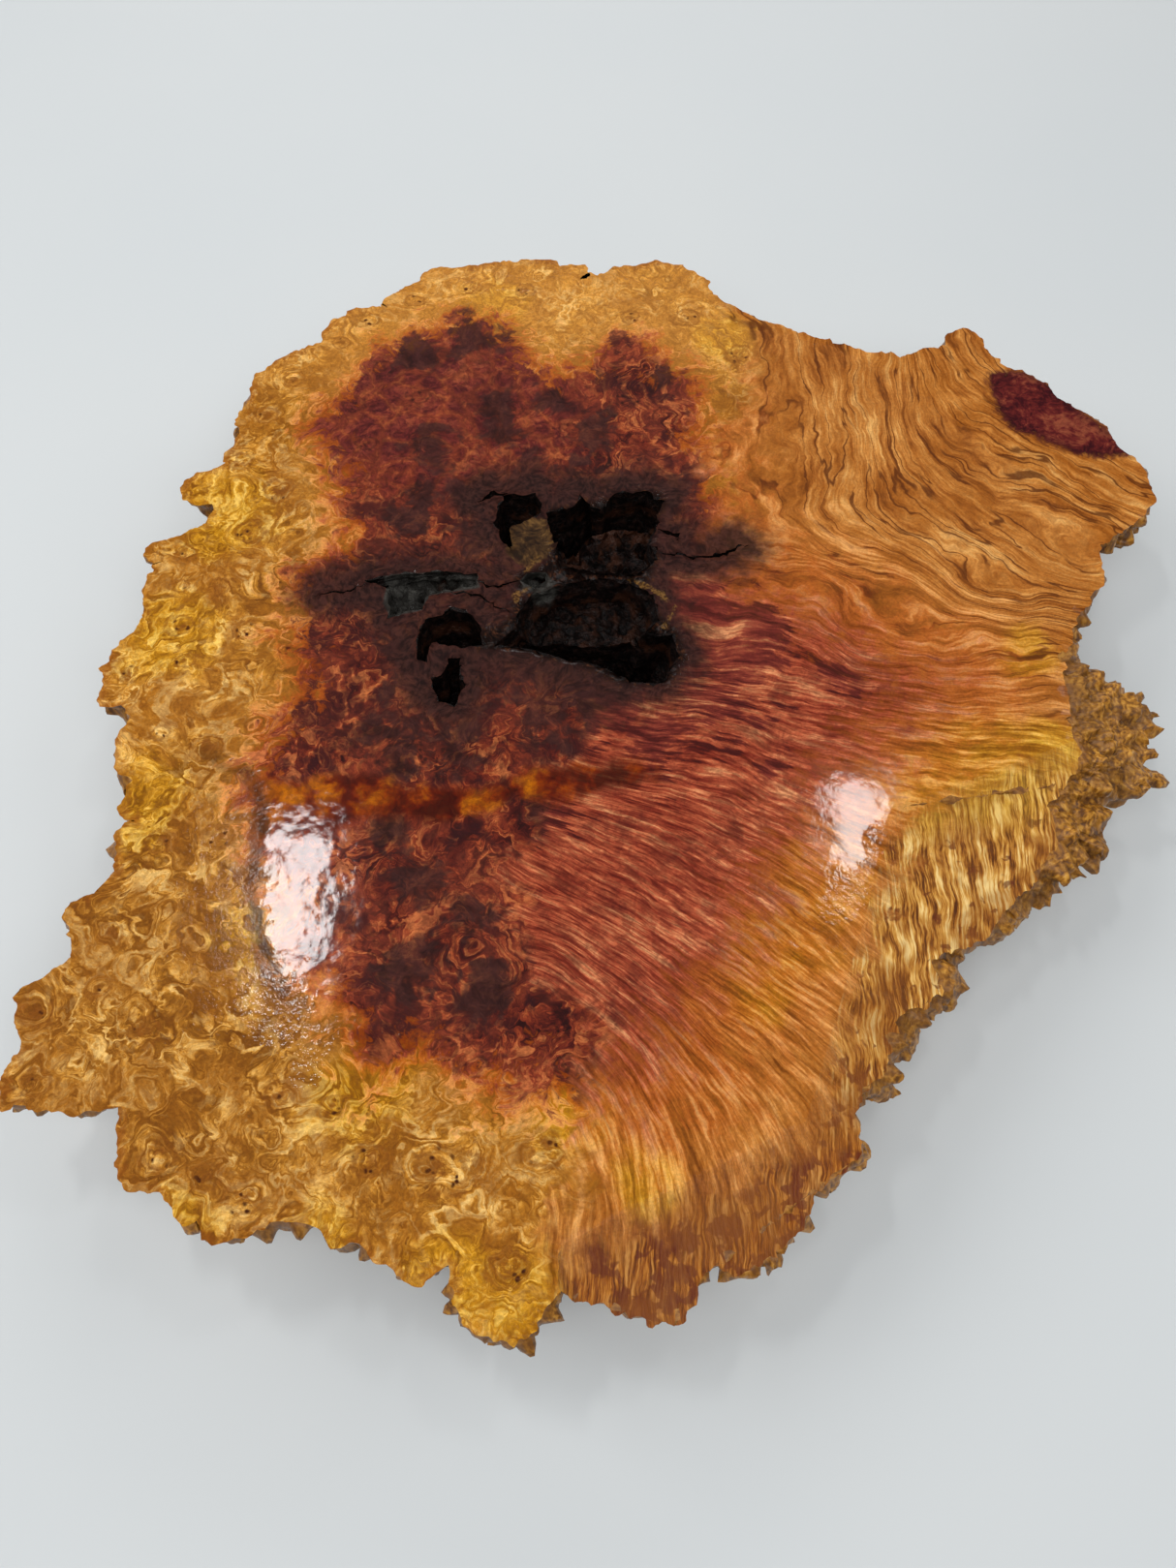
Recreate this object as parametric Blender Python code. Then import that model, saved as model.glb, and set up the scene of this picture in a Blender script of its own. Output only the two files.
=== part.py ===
"""A slab sawn from a mallee burl: one grown piece of wood with a flat sawn face, a rough-sawn
sloping facet, rotted hollows in its heart and a live edge covered in short spikes."""

import math

import bmesh
import bpy
import numpy as np
from mathutils import Matrix, Vector, noise

# Driving dimensions, in metres. +Z is up, out of the sawn face.
THICKNESS = 0.060

# Edge of the sawn face in plan, anticlockwise from the notch at the top
SAWN_EDGE = [
    (-0.014, 0.256), (-0.011, 0.267), (-0.027, 0.266), (-0.029, 0.272), (-0.048, 0.270),
    (-0.076, 0.267), (-0.099, 0.263), (-0.104, 0.254), (-0.120, 0.243), (-0.121, 0.235),
    (-0.134, 0.234), (-0.149, 0.224), (-0.153, 0.218), (-0.151, 0.209), (-0.171, 0.201),
    (-0.180, 0.191), (-0.187, 0.179), (-0.185, 0.170), (-0.191, 0.159), (-0.187, 0.146),
    (-0.195, 0.133), (-0.192, 0.129), (-0.209, 0.120), (-0.214, 0.112), (-0.206, 0.104),
    (-0.195, 0.103), (-0.197, 0.092), (-0.210, 0.084), (-0.224, 0.079), (-0.225, 0.073),
    (-0.217, 0.069), (-0.222, 0.057), (-0.220, 0.035), (-0.229, 0.019), (-0.234, 0.010),
    (-0.231, 0.001), (-0.234, -0.003), (-0.233, -0.010), (-0.220, -0.010), (-0.216, -0.015),
    (-0.222, -0.026), (-0.219, -0.044), (-0.210, -0.046), (-0.213, -0.052), (-0.214, -0.064),
    (-0.206, -0.066), (-0.213, -0.070), (-0.211, -0.090), (-0.219, -0.101), (-0.230, -0.105),
    (-0.225, -0.117), (-0.222, -0.127), (-0.241, -0.141), (-0.239, -0.156), (-0.236, -0.163),
    (-0.241, -0.179), (-0.238, -0.187), (-0.229, -0.186), (-0.210, -0.190), (-0.193, -0.186),
    (-0.190, -0.208), (-0.186, -0.217), (-0.173, -0.218), (-0.163, -0.230), (-0.157, -0.226),
    (-0.154, -0.236), (-0.140, -0.235), (-0.129, -0.229), (-0.112, -0.231), (-0.105, -0.240),
    (-0.098, -0.235), (-0.089, -0.242), (-0.075, -0.252), (-0.062, -0.244), (-0.059, -0.258),
    (-0.053, -0.267), (-0.035, -0.270), (-0.028, -0.262), (-0.022, -0.251), (-0.016, -0.255),
    (-0.007, -0.257), (0.017, -0.264), (0.028, -0.259), (0.033, -0.247), (0.045, -0.240),
    (0.055, -0.236), (0.070, -0.226), (0.079, -0.214), (0.092, -0.206), (0.092, -0.183),
    (0.107, -0.168), (0.105, -0.160), (0.107, -0.150), (0.118, -0.147), (0.123, -0.140),
    (0.119, -0.129), (0.138, -0.124), (0.145, -0.112), (0.146, -0.099), (0.158, -0.094),
    (0.172, -0.075), (0.178, -0.062), (0.190, -0.046), (0.205, -0.035), (0.206, -0.018),
    (0.207, 0.005), (0.207, 0.016), (0.213, 0.024), (0.218, 0.038), (0.235, 0.059),
    (0.236, 0.078), (0.253, 0.090), (0.268, 0.104), (0.269, 0.125), (0.257, 0.140),
    (0.253, 0.153), (0.233, 0.171), (0.228, 0.180), (0.219, 0.188), (0.210, 0.191),
    (0.202, 0.200), (0.196, 0.216), (0.191, 0.221), (0.182, 0.216), (0.179, 0.207),
    (0.166, 0.205), (0.154, 0.199), (0.142, 0.202), (0.126, 0.207), (0.109, 0.213),
    (0.092, 0.221), (0.071, 0.232), (0.061, 0.240), (0.054, 0.251), (0.052, 0.259),
    (0.034, 0.269), (0.020, 0.269), (0.000, 0.262),
]

# Widest line of the live edge along the lower right, where it swells out below the sawn face
FLARE = [
    (0.045, -0.248), (0.062, -0.242), (0.073, -0.232), (0.075, -0.218), (0.091, -0.211),
    (0.098, -0.201), (0.098, -0.185), (0.111, -0.181), (0.113, -0.163), (0.125, -0.161),
    (0.130, -0.147), (0.151, -0.135), (0.150, -0.117), (0.168, -0.114), (0.176, -0.105),
    (0.196, -0.092), (0.198, -0.084), (0.213, -0.075), (0.222, -0.061), (0.220, -0.047),
    (0.237, -0.044), (0.249, -0.035), (0.245, -0.019), (0.253, -0.006), (0.238, 0.007),
    (0.221, 0.016), (0.217, 0.024),
]

# Live edge. The widest line lies FLARE_DROP below the sawn face along the flare and RIM_DROP
# below it elsewhere, and the foot is a rounded copy of it, drawn in to a share of its radius.
FLARE_DROP = 0.022
RIM_DROP = 0.008
RIM_INSET = 0.001
SHOULDER_REACH = 0.62
SHOULDER_DROP = 0.42
FOOT_SHARE = 0.77
FOOT_ROUNDING = 130
WALL_RINGS = 6
WALL_STRAIGHTNESS = 0.62
LUMP_HEIGHT = 0.006
LUMP_SIZE = 0.034

# Spikes stand on every other column and ring of the live edge, shorter near the rim and in notches
COLUMNS = 430
SPIKE_LOW = 0.0015
SPIKE_HIGH = 0.0060
SPIKE_DROOP = 0.35
NOTCH_SPIKES = 0.35
RIM_SPIKES = 0.60
RAGGEDNESS = 0.0008
FLOOR_CLEARANCE = 0.0015

# Rough-sawn facets: a point on each crease, the way each falls, and its slope
EAST_CORNER = (0.123, -0.060)
EAST_FALLS = [(0.366, -0.931), (0.937, -0.350)]
EAST_SLOPE = math.radians(10.0)
SOUTH_CREASE = (0.073, -0.193)
SOUTH_FALLS = (0.428, -0.904)
SOUTH_SLOPE = math.radians(11.0)
SOUTH_LEFT_EDGE = -0.022
FACET_BLOCK = (0.600, 0.600, 0.100)

# Hollows in the rotted heart: plan outline, depth below the sawn face, share of width at the floor
HOLLOWS = {
    "upper_left_hollow": (
        [(-0.053, 0.110), (-0.037, 0.110), (-0.034, 0.103), (-0.035, 0.098), (-0.042, 0.093),
         (-0.049, 0.089), (-0.047, 0.074), (-0.052, 0.079), (-0.057, 0.092)],
        0.032, 0.62),
    "upper_hollow": (
        [(-0.032, 0.098), (-0.019, 0.102), (-0.013, 0.109), (-0.009, 0.102), (-0.004, 0.102),
         (0.002, 0.110), (0.018, 0.113), (0.027, 0.106), (0.024, 0.097), (0.004, 0.098),
         (-0.010, 0.095), (-0.018, 0.082), (-0.028, 0.080)],
        0.038, 0.66),
    "upper_ledge": (
        [(-0.022, 0.095), (0.000, 0.104), (0.020, 0.106), (0.024, 0.092), (0.019, 0.080),
         (0.023, 0.070), (0.012, 0.062), (-0.008, 0.064), (-0.024, 0.067), (-0.027, 0.078)],
        0.013, 0.86),
    "lower_hollow": (
        [(-0.054, 0.023), (-0.045, 0.032), (-0.030, 0.035), (-0.006, 0.033), (0.010, 0.036),
         (0.014, 0.030), (0.028, 0.029), (0.031, 0.017), (0.026, 0.009), (0.023, 0.002),
         (0.008, 0.003), (-0.004, 0.011), (-0.022, 0.015), (-0.036, 0.020)],
        0.044, 0.70),
    "lower_ledge": (
        [(-0.044, 0.030), (-0.045, 0.038), (-0.038, 0.050), (-0.024, 0.056), (-0.008, 0.060),
         (0.009, 0.059), (0.020, 0.050), (0.022, 0.036), (0.012, 0.026), (-0.020, 0.024)],
        0.017, 0.86),
    "arched_hollow": (
        [(-0.090, 0.030), (-0.086, 0.037), (-0.076, 0.042), (-0.066, 0.040), (-0.061, 0.033),
         (-0.060, 0.023), (-0.070, 0.021), (-0.084, 0.024), (-0.086, 0.014), (-0.090, 0.016)],
        0.036, 0.70),
    "small_hollow": (
        [(-0.084, 0.004), (-0.078, 0.006), (-0.076, 0.016), (-0.070, 0.016), (-0.070, 0.005),
         (-0.066, 0.001), (-0.071, -0.009), (-0.078, -0.008)],
        0.024, 0.60),
    "grey_pocket": (
        [(-0.117, 0.058), (-0.101, 0.062), (-0.079, 0.064), (-0.064, 0.062), (-0.063, 0.056),
         (-0.078, 0.052), (-0.088, 0.050), (-0.089, 0.043), (-0.098, 0.040), (-0.105, 0.037),
         (-0.106, 0.053)],
        0.006, 0.93),
    "small_pocket": (
        [(-0.043, 0.058), (-0.040, 0.063), (-0.031, 0.063), (-0.030, 0.059), (-0.037, 0.055)],
        0.006, 0.88),
}
HOLLOW_ROUGHNESS = 0.0012
HOLLOW_LIP = 0.002
HOLLOW_WAIST = (0.5, 0.93)
CUTTER_RISE = 0.004

WOOD_COLOUR = (0.42, 0.17, 0.05, 1.0)
WOOD_ROUGHNESS = 0.35
SEED = 41


def evenly_spaced(points, count, closed):
    """Points at equal steps along a polyline."""
    line = np.array(points + points[:1] if closed else points)
    steps = np.linalg.norm(np.diff(line, axis=0), axis=1)
    travelled = np.concatenate([[0.0], np.cumsum(steps)])
    places = np.linspace(0.0, travelled[-1], count, endpoint=not closed)
    return np.column_stack([np.interp(places, travelled, line[:, axis]) for axis in (0, 1)])


def smoothed(ring, passes):
    """A closed ring with its bumps averaged away."""
    for _ in range(passes):
        ring = (np.roll(ring, 1, axis=0) + 2.0 * ring + np.roll(ring, -1, axis=0)) / 4.0
    return ring


def outward_normals(ring):
    """Unit normals of a closed anticlockwise ring, pointing out."""
    along = np.roll(ring, -1, axis=0) - np.roll(ring, 1, axis=0)
    across = np.column_stack([along[:, 1], -along[:, 0]])
    return across / np.linalg.norm(across, axis=1)[:, None]


def widest_line(edge):
    """The ring where the live edge reaches furthest, and how far it lies below the sawn face."""
    widest = edge - outward_normals(smoothed(edge, 6)) * RIM_INSET
    drop = np.full(COLUMNS, RIM_DROP)
    first = int(np.argmin(np.linalg.norm(edge - np.array(FLARE[0]), axis=1)))
    last = int(np.argmin(np.linalg.norm(edge - np.array(FLARE[-1]), axis=1)))
    share = np.linspace(0.0, 1.0, last - first + 1)
    widest[first:last + 1] = evenly_spaced(FLARE, len(share), closed=False)
    drop[first:last + 1] += (FLARE_DROP - RIM_DROP) * np.sqrt(np.sin(math.pi * share))
    return widest, drop


def live_edge_rings(draw):
    """Rings of points from the sawn edge down to the foot, as an array of ring, column, xyz."""
    edge = evenly_spaced(SAWN_EDGE, COLUMNS, closed=True)
    edge += outward_normals(smoothed(edge, 4)) * draw.uniform(-1, 1, (COLUMNS, 1)) * RAGGEDNESS
    widest, drop = widest_line(edge)
    rounded = smoothed(widest, FOOT_ROUNDING)
    centre = rounded.mean(axis=0)
    foot = centre + (rounded - centre) * FOOT_SHARE
    rings = [np.column_stack([edge, np.full(COLUMNS, THICKNESS)])]
    shoulder = edge + (widest - edge) * SHOULDER_REACH
    rings.append(np.column_stack([shoulder, THICKNESS - drop * SHOULDER_DROP]))
    rings.append(np.column_stack([widest, THICKNESS - drop]))
    for step in range(1, WALL_RINGS + 1):
        share = step / WALL_RINGS
        inward = WALL_STRAIGHTNESS * share + (1.0 - WALL_STRAIGHTNESS) * share * share
        plan = widest + (foot - widest) * inward
        rings.append(np.column_stack([plan, (THICKNESS - drop) * (1.0 - share)]))
    return np.array(rings)


def add_lumps_and_spikes(rings, draw):
    """Raise lumps and staggered spikes from the live edge, leaving both sawn faces flat."""
    ring_count = len(rings)
    normals = outward_normals(smoothed(rings[2][:, :2], 10))
    hollowed = np.cross(np.roll(normals, 1, axis=0), np.roll(normals, -1, axis=0)) < 0.0
    for level in range(1, ring_count - 1):
        share = level / (ring_count - 1)
        for column in range(COLUMNS):
            place = Vector(rings[level, column])
            lump = noise.noise(place / LUMP_SIZE) * LUMP_HEIGHT * math.sin(math.pi * share)
            reach = draw.uniform(SPIKE_LOW, SPIKE_HIGH) if (level + column) % 2 == 0 else 0.0
            if hollowed[column] or level == 1:
                reach *= NOTCH_SPIKES
            elif level == 2 and place.z > THICKNESS - 1.5 * RIM_DROP:
                reach *= RIM_SPIKES
            outward = Vector((*normals[column], -SPIKE_DROOP)).normalized()
            sideways = Vector((-normals[column][1], normals[column][0], 0.0))
            place += outward * (lump + reach) + sideways * draw.uniform(-RAGGEDNESS, RAGGEDNESS)
            place.z = max(place.z, FLOOR_CLEARANCE)
            rings[level, column] = place
    return rings


def loft(name, rings):
    """One closed skin over the rings, each quad split so that every spike keeps four sides."""
    shape = bmesh.new()
    rows = [[shape.verts.new(point) for point in ring] for ring in rings]
    count = len(rings[0])
    for level in range(len(rows) - 1):
        for column in range(count):
            after = (column + 1) % count
            a, b = rows[level][column], rows[level][after]
            c, d = rows[level + 1][after], rows[level + 1][column]
            if (level + column) % 2 == 0:
                shape.faces.new((a, d, b))
                shape.faces.new((b, d, c))
            else:
                shape.faces.new((a, c, b))
                shape.faces.new((a, d, c))
    shape.faces.new(rows[0])
    shape.faces.new(rows[-1][::-1])
    bmesh.ops.recalc_face_normals(shape, faces=shape.faces)
    mesh = bpy.data.meshes.new(name)
    shape.to_mesh(mesh)
    shape.free()
    return bpy.data.objects.new(name, mesh)


def hollow_cutter(name, outline, depth, floor_share, draw):
    """A rough tapering plug, cut out of the sawn face to leave one rotted hollow."""
    mouth = np.array(outline)
    centre = mouth.mean(axis=0)
    waist_depth, waist_share = HOLLOW_WAIST
    profile = [(-depth, floor_share), (-depth * waist_depth, waist_share),
               (-HOLLOW_LIP, 1.0), (CUTTER_RISE, 1.0)]
    rings = []
    for level, share in profile:
        plan = centre + (mouth - centre) * share
        if share < 1.0:
            plan = plan + draw.uniform(-1, 1, plan.shape) * HOLLOW_ROUGHNESS
        rings.append(np.column_stack([plan, np.full(len(plan), THICKNESS + level)]))
    return loft(name, rings)


def facet_block(name):
    """A block standing on the sawn face, to be trimmed to the waste above a facet."""
    block = bmesh.new()
    place = Matrix.Translation((0.0, 0.0, THICKNESS))
    size = Matrix.Diagonal((*FACET_BLOCK, 1.0))
    bmesh.ops.create_cube(block, size=1.0, matrix=place @ size)
    return block


def trim(block, point, outward):
    """Cut away the side of a block that outward points to, and close the cut."""
    cut = bmesh.ops.bisect_plane(block, geom=block.verts[:] + block.edges[:] + block.faces[:],
                                 plane_co=point, plane_no=outward, clear_outer=True)
    edges = [item for item in cut["geom_cut"] if isinstance(item, bmesh.types.BMEdge)]
    bmesh.ops.edgeloop_fill(block, edges=edges)


def facet_cutter(name, creases, left_edge=None):
    """The waste above one or two sloping planes that start at creases in the sawn face."""
    block = facet_block(name)
    for (x, y), (fall_x, fall_y), slope in creases:
        below = Vector((-fall_x * math.sin(slope), -fall_y * math.sin(slope), -math.cos(slope)))
        trim(block, Vector((x, y, THICKNESS)), below)
    if left_edge is not None:
        trim(block, Vector((left_edge, 0.0, 0.0)), Vector((-1.0, 0.0, 0.0)))
    bmesh.ops.recalc_face_normals(block, faces=block.faces)
    mesh = bpy.data.meshes.new(name)
    block.to_mesh(mesh)
    block.free()
    return bpy.data.objects.new(name, mesh)


def wood():
    material = bpy.data.materials.new("burl_wood")
    material.use_nodes = True
    shader = material.node_tree.nodes["Principled BSDF"]
    shader.inputs["Base Color"].default_value = WOOD_COLOUR
    shader.inputs["Roughness"].default_value = WOOD_ROUGHNESS
    shader.inputs["Metallic"].default_value = 0.0
    return material


def cut(target, cutter, collection):
    """Hide a cutter and subtract it from the wood."""
    collection.objects.link(cutter)
    cutter.parent = target.parent
    cutter.hide_render = True
    cutter.display_type = "WIRE"
    boolean = target.modifiers.new(cutter.name, "BOOLEAN")
    boolean.operation = "DIFFERENCE"
    boolean.solver = "EXACT"
    boolean.object = cutter


def build():
    for item in list(bpy.data.objects):
        bpy.data.objects.remove(item, do_unlink=True)
    parts = bpy.data.collections.new("mallee_burl")
    cutters = bpy.data.collections.new("cutters")
    bpy.context.scene.collection.children.link(parts)
    bpy.context.scene.collection.children.link(cutters)
    draw = np.random.default_rng(SEED)

    rings = add_lumps_and_spikes(live_edge_rings(draw), draw)
    middle = (rings.min(axis=(0, 1)) + rings.max(axis=(0, 1))) / 2.0
    plan_origin = bpy.data.objects.new("plan_origin", None)
    plan_origin.location = (-middle[0], -middle[1], 0.0)
    parts.objects.link(plan_origin)

    burl = loft("mallee_burl", rings)
    burl.parent = plan_origin
    burl.data.materials.append(wood())
    parts.objects.link(burl)

    east = [(EAST_CORNER, falls, EAST_SLOPE) for falls in EAST_FALLS]
    cut(burl, facet_cutter("east_facet", east), cutters)
    south = [(SOUTH_CREASE, SOUTH_FALLS, SOUTH_SLOPE)]
    cut(burl, facet_cutter("south_facet", south, SOUTH_LEFT_EDGE), cutters)
    for name, (outline, depth, floor_share) in HOLLOWS.items():
        cut(burl, hollow_cutter(name, outline, depth, floor_share, draw), cutters)


build()
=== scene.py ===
import heapq
import math

import bmesh
import bpy
import numpy as np
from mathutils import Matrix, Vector, geometry, kdtree, noise


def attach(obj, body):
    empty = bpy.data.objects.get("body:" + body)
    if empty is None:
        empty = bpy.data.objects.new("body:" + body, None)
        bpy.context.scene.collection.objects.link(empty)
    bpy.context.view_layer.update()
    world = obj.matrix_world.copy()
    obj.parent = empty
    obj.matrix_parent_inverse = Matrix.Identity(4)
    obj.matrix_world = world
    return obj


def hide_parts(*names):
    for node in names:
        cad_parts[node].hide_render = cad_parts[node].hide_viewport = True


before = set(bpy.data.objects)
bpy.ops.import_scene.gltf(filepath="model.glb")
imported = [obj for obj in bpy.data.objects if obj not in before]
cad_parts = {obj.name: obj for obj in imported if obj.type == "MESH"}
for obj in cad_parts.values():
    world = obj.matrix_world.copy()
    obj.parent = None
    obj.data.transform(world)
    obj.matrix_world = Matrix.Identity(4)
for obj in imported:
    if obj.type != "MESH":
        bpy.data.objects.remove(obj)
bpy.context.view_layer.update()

bpy.ops.object.select_all(action="DESELECT")


# The viewpoint
# A phone held at arm's length above the near edge, looking down at 65 degrees, without roll.
LENS_SPOT = (-0.0246, -0.2678, 0.528)
LOOKING_DOWN = 65.0
FRAME_HEIGHT_PX, FOCAL_PX, SENSOR = 1619, 1216.0, 36.0

bpy.ops.object.camera_add(location=LENS_SPOT, rotation=(math.radians(90 - LOOKING_DOWN), 0, 0))
camera = bpy.context.object
camera.name = "phone_view"
camera.data.sensor_fit = "VERTICAL"
camera.data.sensor_height = SENSOR
camera.data.lens = FOCAL_PX / FRAME_HEIGHT_PX * SENSOR
camera.data.clip_start = 0.01
bpy.context.scene.camera = camera
bpy.context.scene.view_settings.view_transform = "Standard"


# The pale floor
# A plain matt sheet, cool grey-white, under the slab and well past the view.
FLOOR_WIDTH = 8.0


def light_value(channel):
    return channel / 12.92 if channel <= 0.04045 else ((channel + 0.055) / 1.055) ** 2.4


def dye(code):
    """A colour written as on a paint card, in the light values that Blender's shaders take."""
    channels = [int(code[i:i + 2], 16) / 255 for i in (0, 2, 4)]
    return (*[light_value(c) for c in channels], 1.0)


class Finish:
    """A material whose recipe is written as nested calls. Lengths in it are millimetres."""

    def __init__(self, name, **fixed):
        self.material = bpy.data.materials.new(name)
        self.material.use_nodes = True
        self.tree = self.material.node_tree
        self.tree.nodes.clear()
        self.shader = self.tree.nodes.new("ShaderNodeBsdfPrincipled")
        output = self.tree.nodes.new("ShaderNodeOutputMaterial")
        self.tree.links.new(self.shader.outputs[0], output.inputs["Surface"])
        for socket, value in fixed.items():
            self.shader.inputs[socket.replace("_", " ")].default_value = value
        spot = self.tree.nodes.new("ShaderNodeTexCoord").outputs["Object"]
        self.spot = self.scaled(spot, 1000.0)
        split = self.node("ShaderNodeSeparateXYZ", {"Vector": self.spot})
        self.x, self.y, self.z = split.outputs

    def node(self, kind, inputs=None, **settings):
        made = self.tree.nodes.new(kind)
        for name, value in settings.items():
            setattr(made, name, value)
        for key, value in (inputs or {}).items():
            if isinstance(value, bpy.types.NodeSocket):
                self.tree.links.new(value, made.inputs[key])
            else:
                made.inputs[key].default_value = value
        return made

    def set(self, socket, value):
        self.tree.links.new(value, self.shader.inputs[socket])

    def math(self, operation, *values):
        return self.node("ShaderNodeMath", dict(enumerate(values)), operation=operation).outputs[0]

    def add(self, *values):
        total = values[0]
        for value in values[1:]:
            total = self.math("ADD", total, value)
        return total

    def times(self, *values):
        total = values[0]
        for value in values[1:]:
            total = self.math("MULTIPLY", total, value)
        return total

    def sway(self, cloud, reach):
        """A cloud of 0 to 1, made to swing both ways over reach units in all."""
        return self.times(self.add(cloud, -0.5), reach)

    def fade(self, value, low, high, start=0.0, end=1.0):
        """start at low, end at high and a smooth change between them. high may be the smaller one."""
        inputs = {"Value": value, "From Min": low, "From Max": high, "To Min": start, "To Max": end}
        return self.node("ShaderNodeMapRange", inputs, interpolation_type="SMOOTHSTEP").outputs["Result"]

    def scaled(self, vector, scale):
        made = self.node("ShaderNodeVectorMath", {0: vector, "Scale": scale}, operation="SCALE")
        return made.outputs[0]

    def moved(self, vector, other):
        return self.node("ShaderNodeVectorMath", {0: vector, 1: other}, operation="ADD").outputs[0]

    def point(self, x, y, z=0.0):
        return self.node("ShaderNodeCombineXYZ", {0: x, 1: y, 2: z}).outputs[0]

    def cloud(self, vector, size, detail=2.0, rough=0.5, colour=False):
        """Soft noise from 0 to 1 whose blots are about size mm across."""
        inputs = {"Vector": vector, "Scale": 1.0 / size, "Detail": detail, "Roughness": rough}
        return self.node("ShaderNodeTexNoise", inputs).outputs["Color" if colour else "Fac"]

    def lines(self, across, fine, slow, detail, rough=0.6, shift=0.0):
        """Noise that changes fast with one value, across, and slowly with the place."""
        y = self.times(self.y, slow)
        if shift:
            y = self.add(y, shift)
        place = self.point(self.times(across, fine), self.times(self.x, slow), y)
        return self.cloud(place, 1.0, detail, rough)

    def drifted(self, vector, size, reach, detail=2.0):
        """The place, pushed about by up to half of reach mm, so that patterns on it wander."""
        push = self.moved(self.cloud(vector, size, detail, colour=True), (-0.5, -0.5, -0.5))
        return self.moved(vector, self.scaled(push, reach))

    def cells(self, vector, size, feature="F1"):
        inputs = {"Vector": vector, "Scale": 1.0 / size}
        return self.node("ShaderNodeTexVoronoi", inputs, feature=feature).outputs["Distance"]

    def ramp(self, value, *stops):
        made = self.node("ShaderNodeValToRGB", {"Fac": value})
        elements = made.color_ramp.elements
        while len(elements) < len(stops):
            elements.new(0.5)
        for element, (place, code) in zip(elements, stops):
            element.position = place
            element.color = dye(code)
        return made.outputs["Color"]

    def blend(self, share, first, second):
        """share 0 gives the first colour and 1 the second."""
        first, second = (dye(colour) if isinstance(colour, str) else colour for colour in (first, second))
        return self.node("ShaderNodeMix", {0: share, 6: first, 7: second}, data_type="RGBA").outputs[2]

    def layered(self, colour, *coats):
        """A colour under coats of (share, colour), each laid over those before it."""
        for share, coat in coats:
            colour = self.blend(share, colour, coat)
        return colour

    def vivid(self, colour, saturation, value):
        inputs = {"Saturation": saturation, "Value": value, "Color": colour}
        return self.node("ShaderNodeHueSaturation", inputs).outputs[0]

    def mark(self, name):
        return self.node("ShaderNodeAttribute", attribute_name=name).outputs["Fac"]

    def relief(self, height, depth, under=None):
        """A bump of depth mm from a height of 0 to 1."""
        inputs = {"Height": height, "Distance": depth / 1000.0, "Strength": 1.0}
        if under is not None:
            inputs["Normal"] = under
        return self.node("ShaderNodeBump", inputs).outputs[0]


bpy.ops.mesh.primitive_plane_add(size=FLOOR_WIDTH, location=(0, 0, 0))
floor = bpy.context.object
floor.name = "pale_floor"
bpy.ops.object.transform_apply(location=True, rotation=True, scale=True)
floor_finish = Finish("pale matt floor", Roughness=0.55)
mottle = floor_finish.cloud(floor_finish.spot, 260.0, 3.0)
floor_finish.set("Base Color", floor_finish.blend(mottle, "CCD1D3", "D3D6D6"))
floor.data.materials.append(floor_finish.material)


# The studio light
# Two bright ceiling panels behind the slab, which its wet face mirrors, and broad soft fill. The
# panels face straight down, and the fills face the slab.
PANELS = {
    "left_panel": ((-0.545, 0.435, 1.56), (0.11, 0.27), 3.2),
    "right_panel": ((0.467, 0.561, 1.56), (0.10, 0.18), 1.5),
}
FILLS = {
    "overhead_fill": ((0.0, -1.1, 2.3), (2.6, 1.6), 37.0),
    "left_fill": ((-1.9, 0.5, 1.5), (1.4, 1.4), 22.0),
    "right_fill": ((1.9, 0.6, 1.6), (1.4, 1.4), 11.0),
    "back_fill": ((0.0, 2.9, 1.5), (2.4, 1.0), 20.0),
}
WORLD_COLOUR, WORLD_GLOW = (0.93, 0.96, 1.0, 1.0), 0.15

for name, (spot, size, power) in {**PANELS, **FILLS}.items():
    bpy.ops.object.light_add(type="AREA", location=spot)
    lamp = bpy.context.object
    lamp.name = name
    lamp.data.shape = "RECTANGLE"
    lamp.data.size, lamp.data.size_y = size
    lamp.data.energy = power
    if name in FILLS:
        lamp.rotation_euler = (-Vector(spot)).to_track_quat("-Z", "Y").to_euler()
world = bpy.data.worlds.new("studio")
bpy.context.scene.world = world
world.use_nodes = True
world.node_tree.nodes["Background"].inputs["Color"].default_value = WORLD_COLOUR
world.node_tree.nodes["Background"].inputs["Strength"].default_value = WORLD_GLOW


# The burl's body
# One piece of mallee wood: a sawn face, a rough-sawn sloping facet, spiky live edges and rotted
# hollows. It is the CAD solid, cut finer and roughened where the wood is broken or grown.
# The plan drawing's zero lies PLAN_ZERO mm to the lower left of the part's own.
PLAN_ZERO = (13.644, 0.796)
FACE_HEIGHT = 0.060
SAWN, EAST_UPPER, EAST_LOWER, SOUTH, EDGE, ROT, UNDER = KINDS = range(7)
FACETS = [EAST_UPPER, EAST_LOWER, SOUTH]
FACET_RISE, FACET_AREA, FACET_NORTH_END = 0.975, 1e-6, 0.005
SOUTH_LEAN, LOWER_LEAN = (0.075, -0.15), -0.12
WELD, LEVEL_SLACK = 2e-6, 1e-5
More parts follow.
